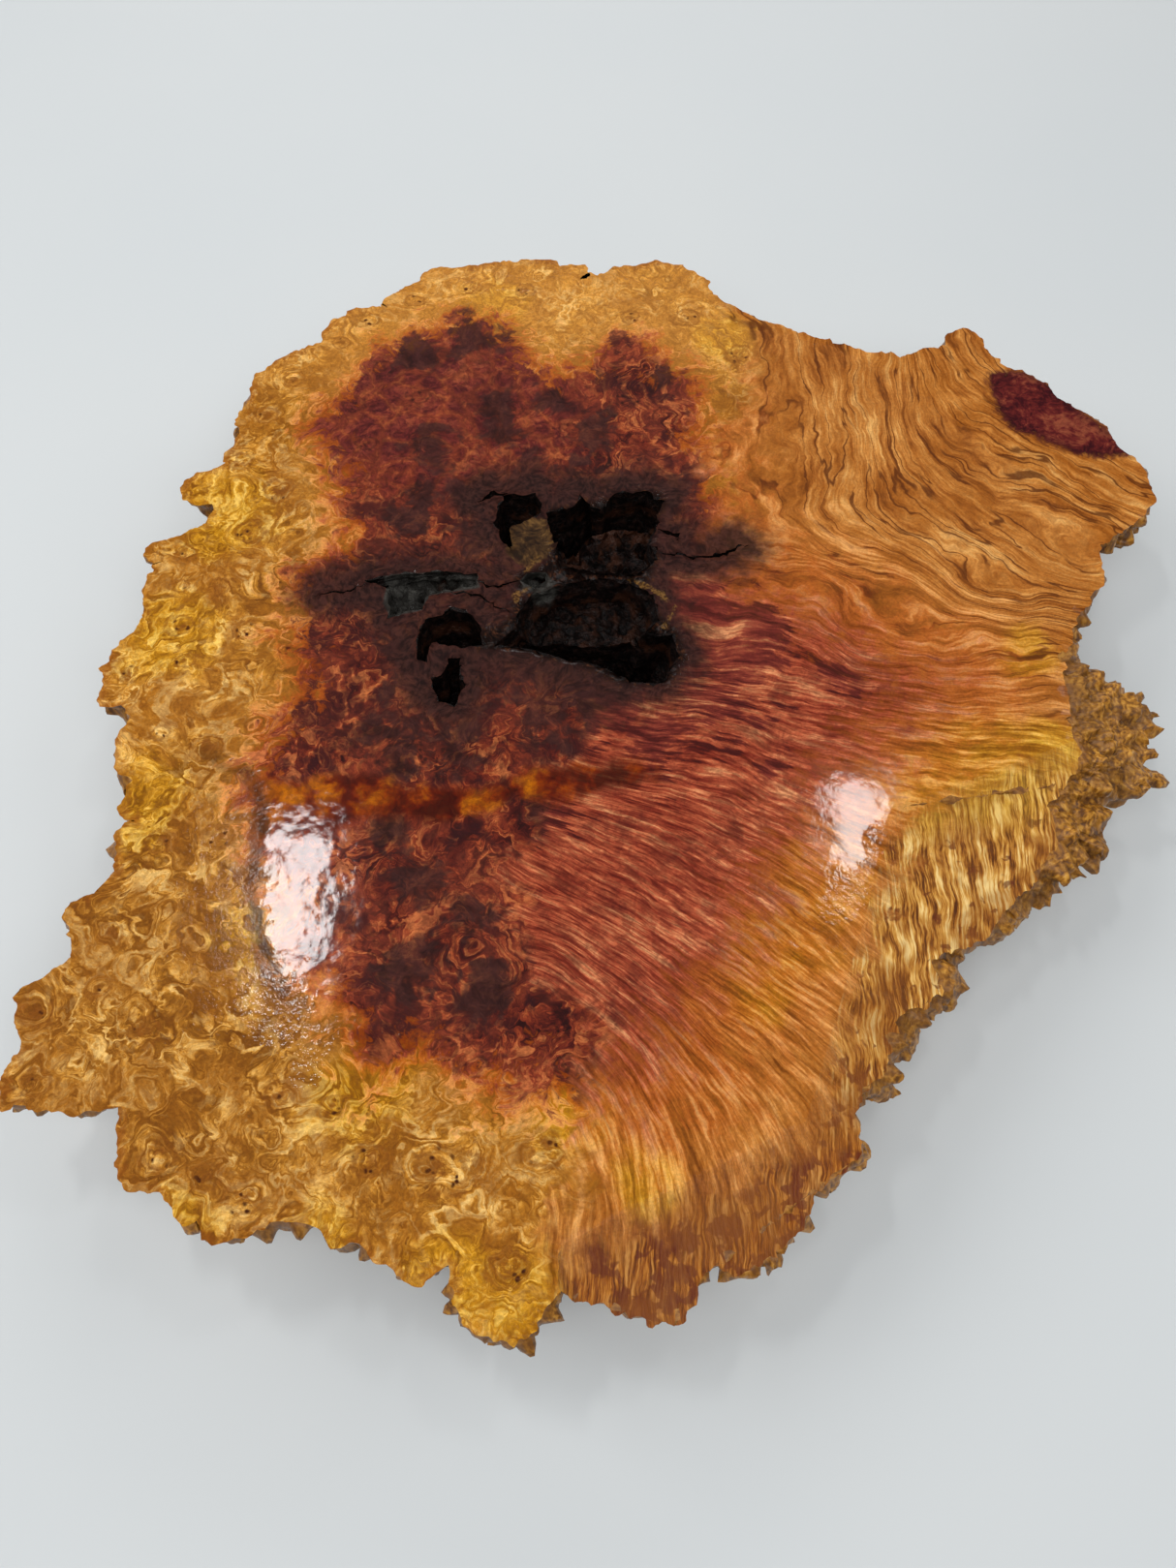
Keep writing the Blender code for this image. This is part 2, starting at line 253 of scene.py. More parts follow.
# Triangle sizes: in mm on the flat faces, and in metres on the broken ones.
FLAT_GRID = {SAWN: 3.6, **dict.fromkeys(FACETS, 2.6), UNDER: 12.0}
CHAR_GRID, CHAR_MARGIN = 1.5, 16.0
ROW_STEP, LATTICE_SHIFT, RIM_CLEARANCE = 0.866, 1.7e-5, 0.55
EDGE_MESH, RIM_MESH, SKIRT_MESH, ROT_MESH, CREASE_MESH = 0.0028, 0.0015, 0.0058, 0.0026, 0.0030
SKIRT_HEIGHT = 0.036
HEARTWOOD_BLOCK = (-0.158, 0.062, -0.022, 0.118)
SCORCH_LINE = [
    (-30, 100), (-16, 102), (-8, 105), (0, 107), (15, 111), (24, 110), (28, 104), (23, 97), (21, 90), (20, 84),
    (20, 78), (24, 72), (20, 66), (17, 60), (16, 52), (18, 43), (23, 37), (31, 30), (33, 15), (26, 2), (4, 2),
    (-8, 9), (-28, 15), (-42, 19), (-60, 20), (-64, 29), (-52, 33), (-45, 39), (-47, 46), (-39, 50), (-45, 54),
    (-43, 62), (-34, 65), (-30, 70), (-28, 84)]
CRACKS = {
    "east_crack": ([(22, 74), (31, 73.3), (40, 71.2), (48, 72.2), (55, 74.2), (61, 77.2), (66, 79)], 0.9, 6),
    "curl_slot": ([(-65, 103.6), (-62.5, 107), (-57, 110.5), (-51, 110.8)], 1.6, 9),
    "ledge_slot": ([(23, 88.5), (28, 87.2), (33, 86), (32.5, 82.5)], 1.1, 8),
    "bridge_crack": ([(-64, 58.5), (-58, 55), (-51, 57), (-42.5, 58.5)], 0.8, 5),
    "west_crack": ([(-138, 51), (-131, 51), (-124, 52), (-116, 56)], 0.7, 4),
    "red_ring_crack": ([(-87, 49.5), (-79, 51.5), (-70, 52), (-61, 49.5), (-54, 44), (-46.5, 37)], 0.6, 4),
}
CRACK_TIP, CRACK_TAPER, CUTTER_RISE = 0.22, 2.8, 0.001


def to_part(x, y):
    """A place on the plan drawing, in mm, in the part's own metres."""
    return (x - PLAN_ZERO[0]) / 1000.0, (y - PLAN_ZERO[1]) / 1000.0


def crack_cutter(trail, half_width, depth):
    """A thin wedge along a trail, wide in the middle, pointed at the ends and narrower below."""
    points = [Vector(to_part(*p)) for p in trail]
    rings = []
    for i, point in enumerate(points):
        ahead = (points[min(i + 1, len(points) - 1)] - points[max(i - 1, 0)]).normalized()
        across = Vector((-ahead.y, ahead.x))
        share = CRACK_TIP + (1 - CRACK_TIP) * math.sin(math.pi * i / (len(points) - 1))
        wide = across * half_width * share / 1000
        thin = across * half_width * share / (1000 * CRACK_TAPER)
        top, drop = FACE_HEIGHT + CUTTER_RISE, FACE_HEIGHT - depth * share / 1000
        rings.append([(*(point + wide), top), (*(point - wide), top),
                      (*(point - thin), drop), (*(point + thin), drop)])
    corners = [c for ring in rings for c in ring]
    faces = [(4 * i + j, 4 * i + 4 + j, 4 * i + 4 + (j + 1) % 4, 4 * i + (j + 1) % 4)
             for i in range(len(rings) - 1) for j in range(4)]
    last = 4 * len(rings) - 4
    return corners, [*faces, (0, 1, 2, 3), (last + 3, last + 2, last + 1, last)]


def facet_kind(up):
    """Which of the three facets a gently sloping face lies on, by the way it leans."""
    if up.x > SOUTH_LEAN[0] and up.y < SOUTH_LEAN[1]:
        return SOUTH
    return EAST_LOWER if up.y < LOWER_LEAN else EAST_UPPER


burl_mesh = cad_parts["mallee_burl"].data.copy()
burl = bpy.data.objects.new("burl_slab", burl_mesh)
bpy.context.scene.collection.objects.link(burl)
bpy.context.view_layer.objects.active = burl
burl.select_set(True)
bpy.ops.mesh.customdata_custom_splitnormals_clear()
bpy.ops.object.mode_set(mode="EDIT")
bpy.ops.mesh.select_all(action="SELECT")
bpy.ops.mesh.remove_doubles(threshold=WELD)
bpy.ops.object.mode_set(mode="OBJECT")
burl_mesh.materials.clear()

for name, (trail, half_width, depth) in CRACKS.items():
    corners, faces = crack_cutter(trail, half_width, depth)
    cutter_mesh = bpy.data.meshes.new(name)
    cutter_mesh.from_pydata(corners, [], faces)
    cutter = bpy.data.objects.new(name, cutter_mesh)
    bpy.context.scene.collection.objects.link(cutter)
    wedge = bmesh.new()
    wedge.from_mesh(cutter_mesh)
    bmesh.ops.triangulate(wedge, faces=wedge.faces)
    bmesh.ops.recalc_face_normals(wedge, faces=wedge.faces)
    wedge.to_mesh(cutter_mesh)
    wedge.free()
    cut = burl.modifiers.new(name, "BOOLEAN")
    cut.operation, cut.solver, cut.object = "DIFFERENCE", "EXACT", cutter
    bpy.ops.object.modifier_apply(modifier=name)
    bpy.data.objects.remove(cutter)

shape = bmesh.new()
shape.from_mesh(burl.data)
bmesh.ops.remove_doubles(shape, verts=shape.verts, dist=WELD)
west, east, south, north = HEARTWOOD_BLOCK
for face in shape.faces:
    centre, up = face.calc_center_median(), face.normal
    heights = [v.co.z for v in face.verts]
    if min(heights) > FACE_HEIGHT - LEVEL_SLACK:
        face.material_index = SAWN
    elif max(heights) < LEVEL_SLACK:
        face.material_index = UNDER
    elif west < centre.x < east and south < centre.y < north:
        face.material_index = ROT
    elif up.z > FACET_RISE and face.calc_area() > FACET_AREA and centre.y < FACET_NORTH_END:
        face.material_index = facet_kind(up)
    else:
        face.material_index = EDGE

bmesh.ops.triangulate(shape, faces=[f for f in shape.faces if len(f.verts) > 3])


def over_limit(edge):
    """How many times longer an edge is than its place on the burl asks for."""
    kinds = {f.material_index for f in edge.link_faces}
    if EDGE in kinds and len(kinds) > 1 and UNDER not in kinds:
        limit = RIM_MESH
    elif EDGE in kinds:
        limit = SKIRT_MESH if max(v.co.z for v in edge.verts) < SKIRT_HEIGHT else EDGE_MESH
    elif ROT in kinds:
        limit = ROT_MESH
    elif len(kinds) > 1:
        limit = CREASE_MESH
    else:
        return 0.0
    return edge.calc_length() / limit


# The longest edge is halved first, each time, which keeps the triangles from growing thin.
waiting = [(-edge.calc_length(), turn, edge) for turn, edge in enumerate(shape.edges)
           if over_limit(edge) > 1]
heapq.heapify(waiting)
turn = len(shape.edges)
while waiting:
    length, _, edge = heapq.heappop(waiting)
    if length != -edge.calc_length():
        continue
    beside = [(face, next(v for v in face.verts if v not in edge.verts)) for face in edge.link_faces]
    _, middle = bmesh.utils.edge_split(edge, edge.verts[0], 0.5)
    for face, opposite in beside:
        bmesh.utils.face_split(face, middle, opposite)
    for piece in middle.link_edges:
        turn += 1
        if over_limit(piece) > 1:
            heapq.heappush(waiting, (-piece.calc_length(), turn, piece))


def within(points, border):
    """Which points lie inside a border of line segments, by how often a line to the east crosses it."""
    points, border = np.array(points, float), np.array(border, float)
    crossings = np.zeros(len(points), int)
    for (ax, ay), (bx, by) in border:
        if ay != by:
            spans = (points[:, 1] >= min(ay, by)) & (points[:, 1] < max(ay, by))
            crossings += spans & (points[:, 0] < ax + (points[:, 1] - ay) / (by - ay) * (bx - ax))
    return crossings % 2 == 1


def reach_inside(points, outline):
    """Distance in mm from each plan point to an outline, positive inside it."""
    points, ring = np.array(points, float), np.array(outline, float)
    nearest = np.full(len(points), 1e9)
    for start, end in zip(ring, np.roll(ring, -1, axis=0)):
        line = end - start
        along = np.clip(((points - start) @ line) / (line @ line), 0, 1)
        nearest = np.minimum(nearest, np.linalg.norm(points - start - along[:, None] * line, axis=1))
    return np.where(within(points, list(zip(ring, np.roll(ring, -1, axis=0)))), nearest, -nearest)


def recut_flat(kind, spacing):
    """Cuts one flat face again, into near-even triangles on a lattice, finer where the face is charred."""
    faces = [f for f in shape.faces if f.material_index == kind]
    inside = set(faces)
    border = [e for e in shape.edges if sum(f in inside for f in e.link_faces) == 1]
    rim = list(dict.fromkeys(v for e in border for v in e.verts))
    place = {v: i for i, v in enumerate(rim)}
    corner = faces[0].verts[0].co.copy()
    total = Vector((0, 0, 0))
    for f in faces:
        total += f.normal * f.calc_area()
    tilt = total.normalized()
    bmesh.ops.delete(shape, geom=faces, context="FACES_ONLY")
    spare = [e for e in shape.edges if not e.link_faces and e not in set(border)]
    bmesh.ops.delete(shape, geom=spare, context="EDGES")
    tree = kdtree.KDTree(len(rim) + len(border))
    for i, v in enumerate(rim):
        tree.insert((v.co.x, v.co.y, 0), i)
    for i, e in enumerate(border):
        middle = (e.verts[0].co + e.verts[1].co) / 2
        tree.insert((middle.x, middle.y, 0), i)
    tree.balance()
    flat = [Vector((v.co.x, v.co.y)) for v in rim]
    lows, highs = np.min(flat, 0), np.max(flat, 0)
    for step, charred in ((spacing / 1000, False), (CHAR_GRID / 1000, True)):
        rows = int((highs[1] - lows[1]) / (step * ROW_STEP)) + 1
        columns = int((highs[0] - lows[0]) / step) + 1
        lattice = np.array([(lows[0] + LATTICE_SHIFT + (column + 0.5 * (row % 2)) * step,
                             lows[1] + row * step * ROW_STEP)
                            for row in range(rows) for column in range(columns)])
        near_char = reach_inside(lattice * 1000 + PLAN_ZERO, SCORCH_LINE) > -CHAR_MARGIN
        for x, y in lattice[(near_char & (kind == SAWN)) == charred]:
            if tree.find((x, y, 0))[2] > RIM_CLEARANCE * step:
                flat.append(Vector((x, y)))
    lines = [(place[e.verts[0]], place[e.verts[1]]) for e in border]
    spots, _, triangles, origin, _, _ = geometry.delaunay_2d_cdt(flat, lines, [], 1, 1e-9)
    kept = within([sum((spots[i] for i in t), Vector((0, 0))) / 3 for t in triangles],
                  [(flat[a], flat[b]) for a, b in lines])
    made = {}
    for triangle in [t for t, inside_rim in zip(triangles, kept) if inside_rim]:
        corners = []
        for i in triangle:
            if i not in made:
                known = [k for k in origin[i] if k < len(rim)]
                if known:
                    made[i] = rim[known[0]]
                else:
                    x, y = spots[i]
                    z = corner.z - ((x - corner.x) * tilt.x + (y - corner.y) * tilt.y) / tilt.z
                    made[i] = shape.verts.new((x, y, z))
            corners.append(made[i])
        if len(set(corners)) == 3 and shape.faces.get(corners) is None:
            face = shape.faces.new(corners)
            face.material_index = kind
            face.normal_update()
            if face.normal.dot(tilt) < 0:
                face.normal_flip()


for kind, spacing in FLAT_GRID.items():
    if any(f.material_index == kind for f in shape.faces):
        recut_flat(kind, spacing)
bmesh.ops.triangulate(shape, faces=[f for f in shape.faces if len(f.verts) > 3])
shape.normal_update()
shape.to_mesh(burl.data)
shape.free()


# The burl's broken and grown surfaces
# The live edge grew as rounded lobes set with blunt spikes and fine ribs, and the rot left crumbly
# walls and ledges. Points of the mesh are moved along its normals. The sawn faces stay flat, apart
# from their rims, the chipped char and faint saw marks.
# Width and height of each growth, in mm.
LOBES, SPIKES, RIBS = (18.0, 3.6), (9.0, 6.0), (3.2, 0.6)
RIM_TEETH = ((8.0, 2.8), (3.6, 2.2))
CRUMBLE = ((7.0, 1.5), (2.6, 0.7))
CHIPS, CHAR_EASE = ((11.0, 4.5), (4.6, 3.2), (2.4, 1.6)), 6.0
SAW_MARKS, RIB_LENGTH, LIP_NIBBLE = (2.6, 0.28), 15.0, 1.5
# How far a spike's and a tooth's foot reach, as a share of their width.
SPIKE_FOOT, TOOTH_FOOT = 0.62, 0.6
# How far from the rim and the lip the relief is at its full height, in mm.
RIM_EASE, LIP_EASE = 4.0, 6.0
LOBE_SEED, SPIKE_SEED, TOOTH_SEED = 11, 23, 37


def grown_cells(points, size, seed):
    """For each point, the distance to the nearest of scattered centres and that centre's own lot."""
    grid = np.floor(points / size).astype(np.int64)
    nearest, lot = np.full(len(points), 9.0), np.zeros(len(points))
    for step in np.ndindex(3, 3, 3):
        cell = grid + np.array(step) - 1
        draws = []
        for turn in range(4):
            code = (cell * (73856093, 19349663, 83492791)).sum(1) + 7919 * turn + seed
            code = ((code ^ (code >> 13)) * 1274126177) & 0xFFFFFFFF
            code = ((code ^ (code >> 16)) * 2246822519) & 0xFFFFFFFF
            draws.append((code ^ (code >> 13)) / 0xFFFFFFFF)
        centre = (cell + np.array(draws[:3]).T) * size
        away = np.linalg.norm(points - centre, axis=1) / size
        closer = away < nearest
        nearest[closer], lot[closer] = away[closer], draws[3][closer]
    return nearest, lot


def soft_noise(points, size, shift):
    """Smooth noise from -1 to 1. size may be one length or one for each axis, in mm."""
    return np.array([noise.noise(Vector(p) + Vector((shift, shift, shift))) for p in points / size])


mesh = burl.data
count = len(mesh.vertices)
spots = np.empty(count * 3)
mesh.vertices.foreach_get("co", spots)
spots = spots.reshape(-1, 3) * 1000.0
corners = np.empty(len(mesh.polygons) * 3, np.int32)
mesh.polygons.foreach_get("vertices", corners)
corners = corners.reshape(-1, 3)
face_kind = np.empty(len(mesh.polygons), np.int32)
mesh.polygons.foreach_get("material_index", face_kind)
touches = np.zeros((count, len(KINDS)), bool)
for kind in KINDS:
    touches[np.unique(corners[face_kind == kind]), kind] = True
on_flat = touches[:, list(FLAT_GRID)].any(1)
edge_only = touches[:, EDGE] & ~on_flat
rot_only = touches[:, ROT] & ~on_flat
rim = touches[:, EDGE] & on_flat & ~touches[:, UNDER]
lip = touches[:, ROT] & touches[:, SAWN]
spans = np.concatenate([corners[:, [0, 1]], corners[:, [1, 2]], corners[:, [2, 0]]])
face_spans = np.tile(face_kind, 3)


def eased(values, chosen, kind, rounds, share):
    """Moves the chosen points towards the middle of their neighbours on one kind of face."""
    links = spans[face_spans == kind]
    for _ in range(rounds):
        total, ties = np.zeros_like(values), np.zeros(len(values))
        np.add.at(total, links[:, 0], values[links[:, 1]])
        np.add.at(total, links[:, 1], values[links[:, 0]])
        np.add.at(ties, links[:, 0], 1)
        np.add.at(ties, links[:, 1], 1)
        middle = total[chosen] / ties[chosen][:, None]
        values[chosen] += (middle - values[chosen]) * share
    return values


def unit(vectors):
    return vectors / np.maximum(np.linalg.norm(vectors, axis=1), 1e-12)[:, None]


def facing(values, kind):
    """The outward direction at every point of one kind of face."""
    a, b, c = (values[corners[face_kind == kind][:, i]] for i in range(3))
    flat = np.cross(b - a, c - a)
    total = np.zeros_like(values)
    for i in range(3):
        np.add.at(total, corners[face_kind == kind][:, i], flat)
    return unit(total)


def distance_to(points, others):
    """How far each point is from the nearest of the others, in mm."""
    tree = kdtree.KDTree(len(others))
    for i, p in enumerate(others):
        tree.insert(p, i)
    tree.balance()
    return np.array([tree.find(p)[2] for p in points])


spots = eased(spots, edge_only, EDGE, 2, 0.5)
outward = eased(facing(spots, EDGE), edge_only, EDGE, 3, 0.5)
outward[:, 2] = outward[:, 2] * 0.55 - 0.12
outward = unit(outward)

# Lobes, ribs and spikes stand out of the live edge, highest at the lower right and low at its rims.
wall = np.flatnonzero(edge_only)
here = spots[wall]
wander = np.stack([soft_noise(here, 9.0, s) for s in (3.1, 17.7, 41.3)], 1) * 2.2
lobe, _ = grown_cells(here + wander, LOBES[0], LOBE_SEED)
spike, lot = grown_cells((here + wander * 0.6) * (1, 1, 0.4), SPIKES[0], SPIKE_SEED)
rib = 1.0 - np.abs(soft_noise(here + wander, np.array([RIBS[0], RIBS[0], RIB_LENGTH]), 5.0)) * 2.0
lift = LOBES[1] * (0.6 - lobe) + RIBS[1] * (rib - 0.5)
lift += SPIKES[1] * (0.35 + 0.9 * lot) * np.clip(1.0 - spike / SPIKE_FOOT, 0, 1) ** 1.25 - 0.8
lift *= 1.0 + 0.7 * np.clip((here[:, 0] - here[:, 1] - 60) / 120, 0, 1)
near_rim = np.clip(distance_to(here, spots[touches[:, EDGE] & on_flat]) / RIM_EASE, 0, 1)
spots[wall] += outward[wall] * (lift * (0.18 + 0.82 * near_rim))[:, None]

# Teeth push the rim out sideways, and it stays in the plane of the face that it bounds.
teeth = np.flatnonzero(rim)
sideways = facing(spots, EDGE)[teeth]
sideways[:, 2] = 0.0
sideways = unit(sideways)
push = np.zeros(len(teeth))
for size, depth in RIM_TEETH:
    tooth, lot = grown_cells(spots[teeth] * (1, 1, 0), size, TOOTH_SEED)
    push += depth * (0.2 + lot) * np.clip(1.0 - tooth / TOOTH_FOOT, 0, 1)
slopes = np.zeros((count, 2))
for kind in FACETS:
    up = facing(spots, kind)
    sloping = touches[:, kind]
    slopes[sloping] = -up[sloping, :2] / up[sloping, 2:]
spots[teeth, :2] += sideways[:, :2] * push[:, None]
level = touches[teeth, SAWN]
spots[teeth, 2] += np.where(level, 0.0, (sideways[:, :2] * push[:, None] * slopes[teeth]).sum(1))

# The hollows' walls crumble, most on the upper shelves, and their lips are nibbled.
inward = facing(spots, ROT)
rotten = np.flatnonzero(rot_only)
here = spots[rotten]
lip_gap = np.clip(distance_to(here, spots[lip]) / LIP_EASE, 0, 1)
crumbs = sum(depth * soft_noise(here, size, size) for size, depth in CRUMBLE)
shelf = np.clip((here[:, 2] - 38) / 8, 0, 1) * np.clip(inward[rotten, 2] * 2 - 0.6, 0, 1)
crumbs += shelf * (2.0 - sum(depth * np.abs(soft_noise(here, size, 3.0)) for size, depth in CHIPS) * 2.2)
crumbs += 0.8 * (np.abs(soft_noise(here, np.array([3.0, 3.0, 9.0]), 9.0)) - 0.25)
spots[rotten] += inward[rotten] * (crumbs * lip_gap)[:, None]
mouth = np.flatnonzero(lip)
here_lip = spots[mouth]
for axis, shift in ((0, 1.5), (1, 8.5)):
    nibble = soft_noise(here_lip, 2.6, shift) + 1.3 * soft_noise(here_lip, 6.0, shift)
    spots[mouth, axis] += LIP_NIBBLE * nibble

# Inside the scorch line the face is chipped below the sawn level.
burnt = np.flatnonzero(touches[:, SAWN] & ~rim)
here = spots[burnt]
burn = reach_inside(here[:, :2] + PLAN_ZERO, SCORCH_LINE) / CHAR_EASE
burn = np.clip(burn + 0.35 * soft_noise(here, 5.0, 2.0), 0, 1)
chips = sum(depth * np.abs(soft_noise(here, size, size)) for size, depth in CHIPS)
spots[burnt, 2] -= burn * chips

for kind in FACETS:
    sawn_rough = np.flatnonzero(touches[:, kind] & ~rim & ~touches[:, SAWN])
    saw_mark = soft_noise(spots[sawn_rough], np.array([SAW_MARKS[0], 30.0, 30.0]), 2.0)
    spots[sawn_rough, 2] += SAW_MARKS[1] * saw_mark - 0.1
spots[:, 2] = np.clip(spots[:, 2], 0.0, FACE_HEIGHT * 1000)
mesh.vertices.foreach_set("co", (spots / 1000.0).ravel())
mesh.update()


# The burl's figure, marked on the mesh
# What grew where: red heartwood, golden sapwood, round eyes, and grain that runs down and then out
# to the right. Each mark is one number at every point, and the finishes below read them.
HEART_LINE = [
    (-117, 203), (-87, 223), (-60, 227), (-52, 213), (-47, 193), (-30, 190), (-13, 193), (3, 207), (23, 210),
    (38, 190), (50, 160), (42, 140), (50, 110), (58, 80), (80, 58), (107, 45), (140, 20), (165, 5), (140, -23),
    (117, -47), (93, -73), (73, -105), (52, -138), (33, -165), (12, -186), (-27, -181), (-60, -174),
    (-78, -160), (-95, -172), (-112, -155), (-127, -127), (-137, -93), (-158, -57), (-155, -23), (-137, 0),
    (-148, 33), (-147, 60), (-127, 83), (-137, 123), (-147, 150), (-143, 173), (-130, 190)]
PATCH_LINE = [
    (198, 188), (218, 190), (230, 180), (242, 167), (262, 145), (262, 134), (245, 132), (232, 136), (218, 143),
    (207, 150), (200, 163), (197, 178)]
FLOW_LINE = [
    (62, 245), (78, 205), (70, 180), (58, 160), (55, 130), (58, 100), (48, 84), (30, 60), (28, 40), (30, 15),
    (10, -12), (-20, -35), (-35, -70), (-40, -110), (-20, -150), (-8, -190), (-22, -225), (-22, -290),
    (300, -290), (300, 260)]
SILT_LINE = [(-106, 62), (-84, 63), (-64, 60), (-62, 54), (-86, 50), (-90, 41), (-104, 38), (-108, 46)]
GREY_LINE = [(-43, 55), (-40, 62), (-31, 63), (-26, 58), (-30, 53), (-37, 52)]
OCHRE_LINE = [(-52, 88), (-44, 94), (-32, 95), (-28, 84), (-30, 72), (-40, 66), (-50, 74)]
AMBER_LINE = [(-152, -44), (-120, -46), (-85, -50), (-60, -50), (-20, -40), (10, -38), (22, -44), (0, -54),
              (-40, -58), (-75, -68), (-105, -62), (-130, -72), (-150, -68)]
POOL_LINE = [(-150, -50), (-148, -100), (-140, -130), (-118, -150), (-60, -165), (0, -180), (60, -140),
             (85, -110), (108, -84), (123, -62), (180, -48), (205, -26), (205, 20), (240, 80), (150, 190),
             (40, 240), (-60, 250), (-150, 190), (-190, 60), (-205, -20), (-160, -40)]
GRAIN = [
    (0, [(166, 205), (168, 195), (170, 183), (173, 168), (180, 155), (188, 147), (200, 140), (217, 132),
         (230, 120), (243, 108)]),
    (22, [(155, 160), (163, 133), (170, 125), (178, 117), (188, 110), (203, 106), (217, 102),
          (227, 97), (240, 90)]),
    (34, [(160, 128), (167, 113), (177, 105), (187, 95), (197, 86), (207, 78), (217, 70), (228, 62)]),
    (46, [(148, 205), (145, 178), (145, 165), (144, 150), (143, 140), (147, 132), (153, 120), (158, 110),
          (165, 102), (173, 93), (180, 87), (187, 82), (200, 72), (214, 60)]),
    (60, [(132, 205), (131, 180), (133, 165), (133, 150), (133, 135), (133, 123), (137, 110), (142, 103),
          (152, 95), (162, 87), (170, 80), (180, 73), (190, 67), (203, 57)]),
    (76, [(118, 210), (121, 180), (123, 165), (124, 150), (124, 135), (122, 118), (121, 106), (123, 97),
          (137, 82), (147, 72), (157, 62), (166, 53), (180, 46), (198, 42)]),
    (92, [(105, 212), (106, 180), (107, 165), (107, 150), (106, 130), (104, 113), (102, 100), (104, 90),
          (113, 83), (127, 78), (137, 72), (147, 66), (155, 57), (165, 48)]),
    (103, [(92, 212), (95, 175), (92, 160), (90, 140), (90, 120), (90, 105), (92, 92)]),
    (110, [(78, 180), (73, 150), (70, 130), (70, 110), (74, 96)]),
    (117, [(50, 79), (60, 77), (78, 77), (92, 73), (102, 68), (110, 64), (120, 62), (137, 60), (147, 53),
           (157, 45), (175, 39), (200, 37)]),
    (128, [(66, 68), (85, 67), (97, 65), (107, 60), (112, 54), (117, 47), (125, 41), (142, 36),
           (165, 33), (195, 31)]),
    (142, [(45, 57), (60, 53), (75, 48), (90, 43), (100, 37), (110, 29), (120, 22), (135, 18),
           (160, 16), (190, 18)]),
    (158, [(30, 38), (42, 37), (60, 35), (78, 32), (93, 25), (103, 17), (113, 10), (127, 7),
           (155, 4), (200, 5)]),
    (174, [(25, 8), (40, 6), (65, 3), (87, 0), (103, -5), (120, -10), (137, -13), (165, -16), (205, -18)]),
    (190, [(10, -8), (40, -12), (60, -17), (80, -25), (100, -32), (125, -38), (150, -42), (180, -44)]),
    (208, [(-10, -38), (10, -43), (40, -50), (60, -58), (80, -69), (100, -80), (115, -90)]),
    (226, [(-30, -50), (0, -58), (20, -65), (40, -75), (60, -86), (82, -100)]),
    (246, [(-35, -70), (-15, -80), (0, -88), (20, -100), (40, -112), (60, -127), (78, -142)]),
    (266, [(-38, -100), (-20, -108), (0, -120), (20, -134), (40, -150), (58, -164), (72, -180)]),
    (286, [(-25, -128), (0, -145), (15, -160), (27, -176), (37, -195), (48, -225)]),
    (306, [(-22, -165), (-8, -178), (0, -190), (7, -210), (11, -235), (12, -262)]),
    (318, [(-26, -195), (-18, -210), (-15, -232), (-14, -256)])]
FAN_START, FAN_CLOSENESS = 158, 1.7
GOLD_VEINS = [[(10, 59), (16, 56), (23, 51), (30, 44), (27, 38), (25, 33)],
              [(-47, 59), (-42, 63), (-38, 66), (-36, 72)],
              [(-45, 49), (-41, 53)]]
SMOKE = [
    (-75, 8, 17), (-50, 12, 16), (-22, 4, 15), (0, -8, 14), (-30, -12, 15), (-86, 4, 14), (-15, 112, 17),
    (6, 114, 11), (-38, 116, 12), (30, 112, 9), (36, 12, 12), (44, -8, 15), (-112, 52, 12), (-58, 165, 9),
    (-30, 170, 9), (-52, 145, 10), (-40, 127, 10), (-70, 108, 10), (-90, 140, 13), (-96, 110, 9),
    (68, 32, 13), (58, 12, 15), (30, 50, 18), (-66, 84, 9), (-8, 150, 11), (30, 185, 8), (-100, 205, 12),
    (-70, 212, 14), (104, 8, 7), (48, 32, 14), (62, 38, 9), (68, -45, 7), (-80, -95, 13), (-96, -68, 12),
    (-84, -128, 13), (-50, -140, 11), (-62, -106, 10), (-30, -62, 11), (-96, -34, 14), (-70, -36, 12),
    (-98, 92, 11), (30, 25, 10), (20, -28, 12), (-100, 18, 9)]
YELLOWS = [
    (165, -40, 34), (192, 16, 16), (135, -52, 24), (85, -100, 20), (-98, -178, 26), (-62, -252, 22),
    (-36, -260, 20), (60, -140, 16), (-152, -118, 16), (-205, -60, 24), (-206, 30, 26), (-190, 96, 30),
    (10, -214, 16), (-60, 236, 22), (60, 214, 18), (195, -30, 18), (-165, -232, 18), (-112, -238, 18),
    (66, -122, 24), (90, -90, 22), (-18, -190, 18)]
PROUD_GRAIN = [
    (-142, -146, 14), (-135, -156, 13), (-128, -148, 9), (-118, -164, 9), (-122, -176, 8), (117, -76, 9),
    (114, -94, 12), (100, -100, 12), (128, -82, 10), (92, -106, 9), (108, -103, 12)]
NO_PATCH, PATCH_SOFTNESS = -1.5, 1.3
NO_EYE, EYE_FLATNESS, EYE_FALL, EYE_CURVE = 3.0, 1.15, 1.6, 1.6
SHEET_UNIT, SHEET_GIVE, BATCH = 100, 0.004, 20000
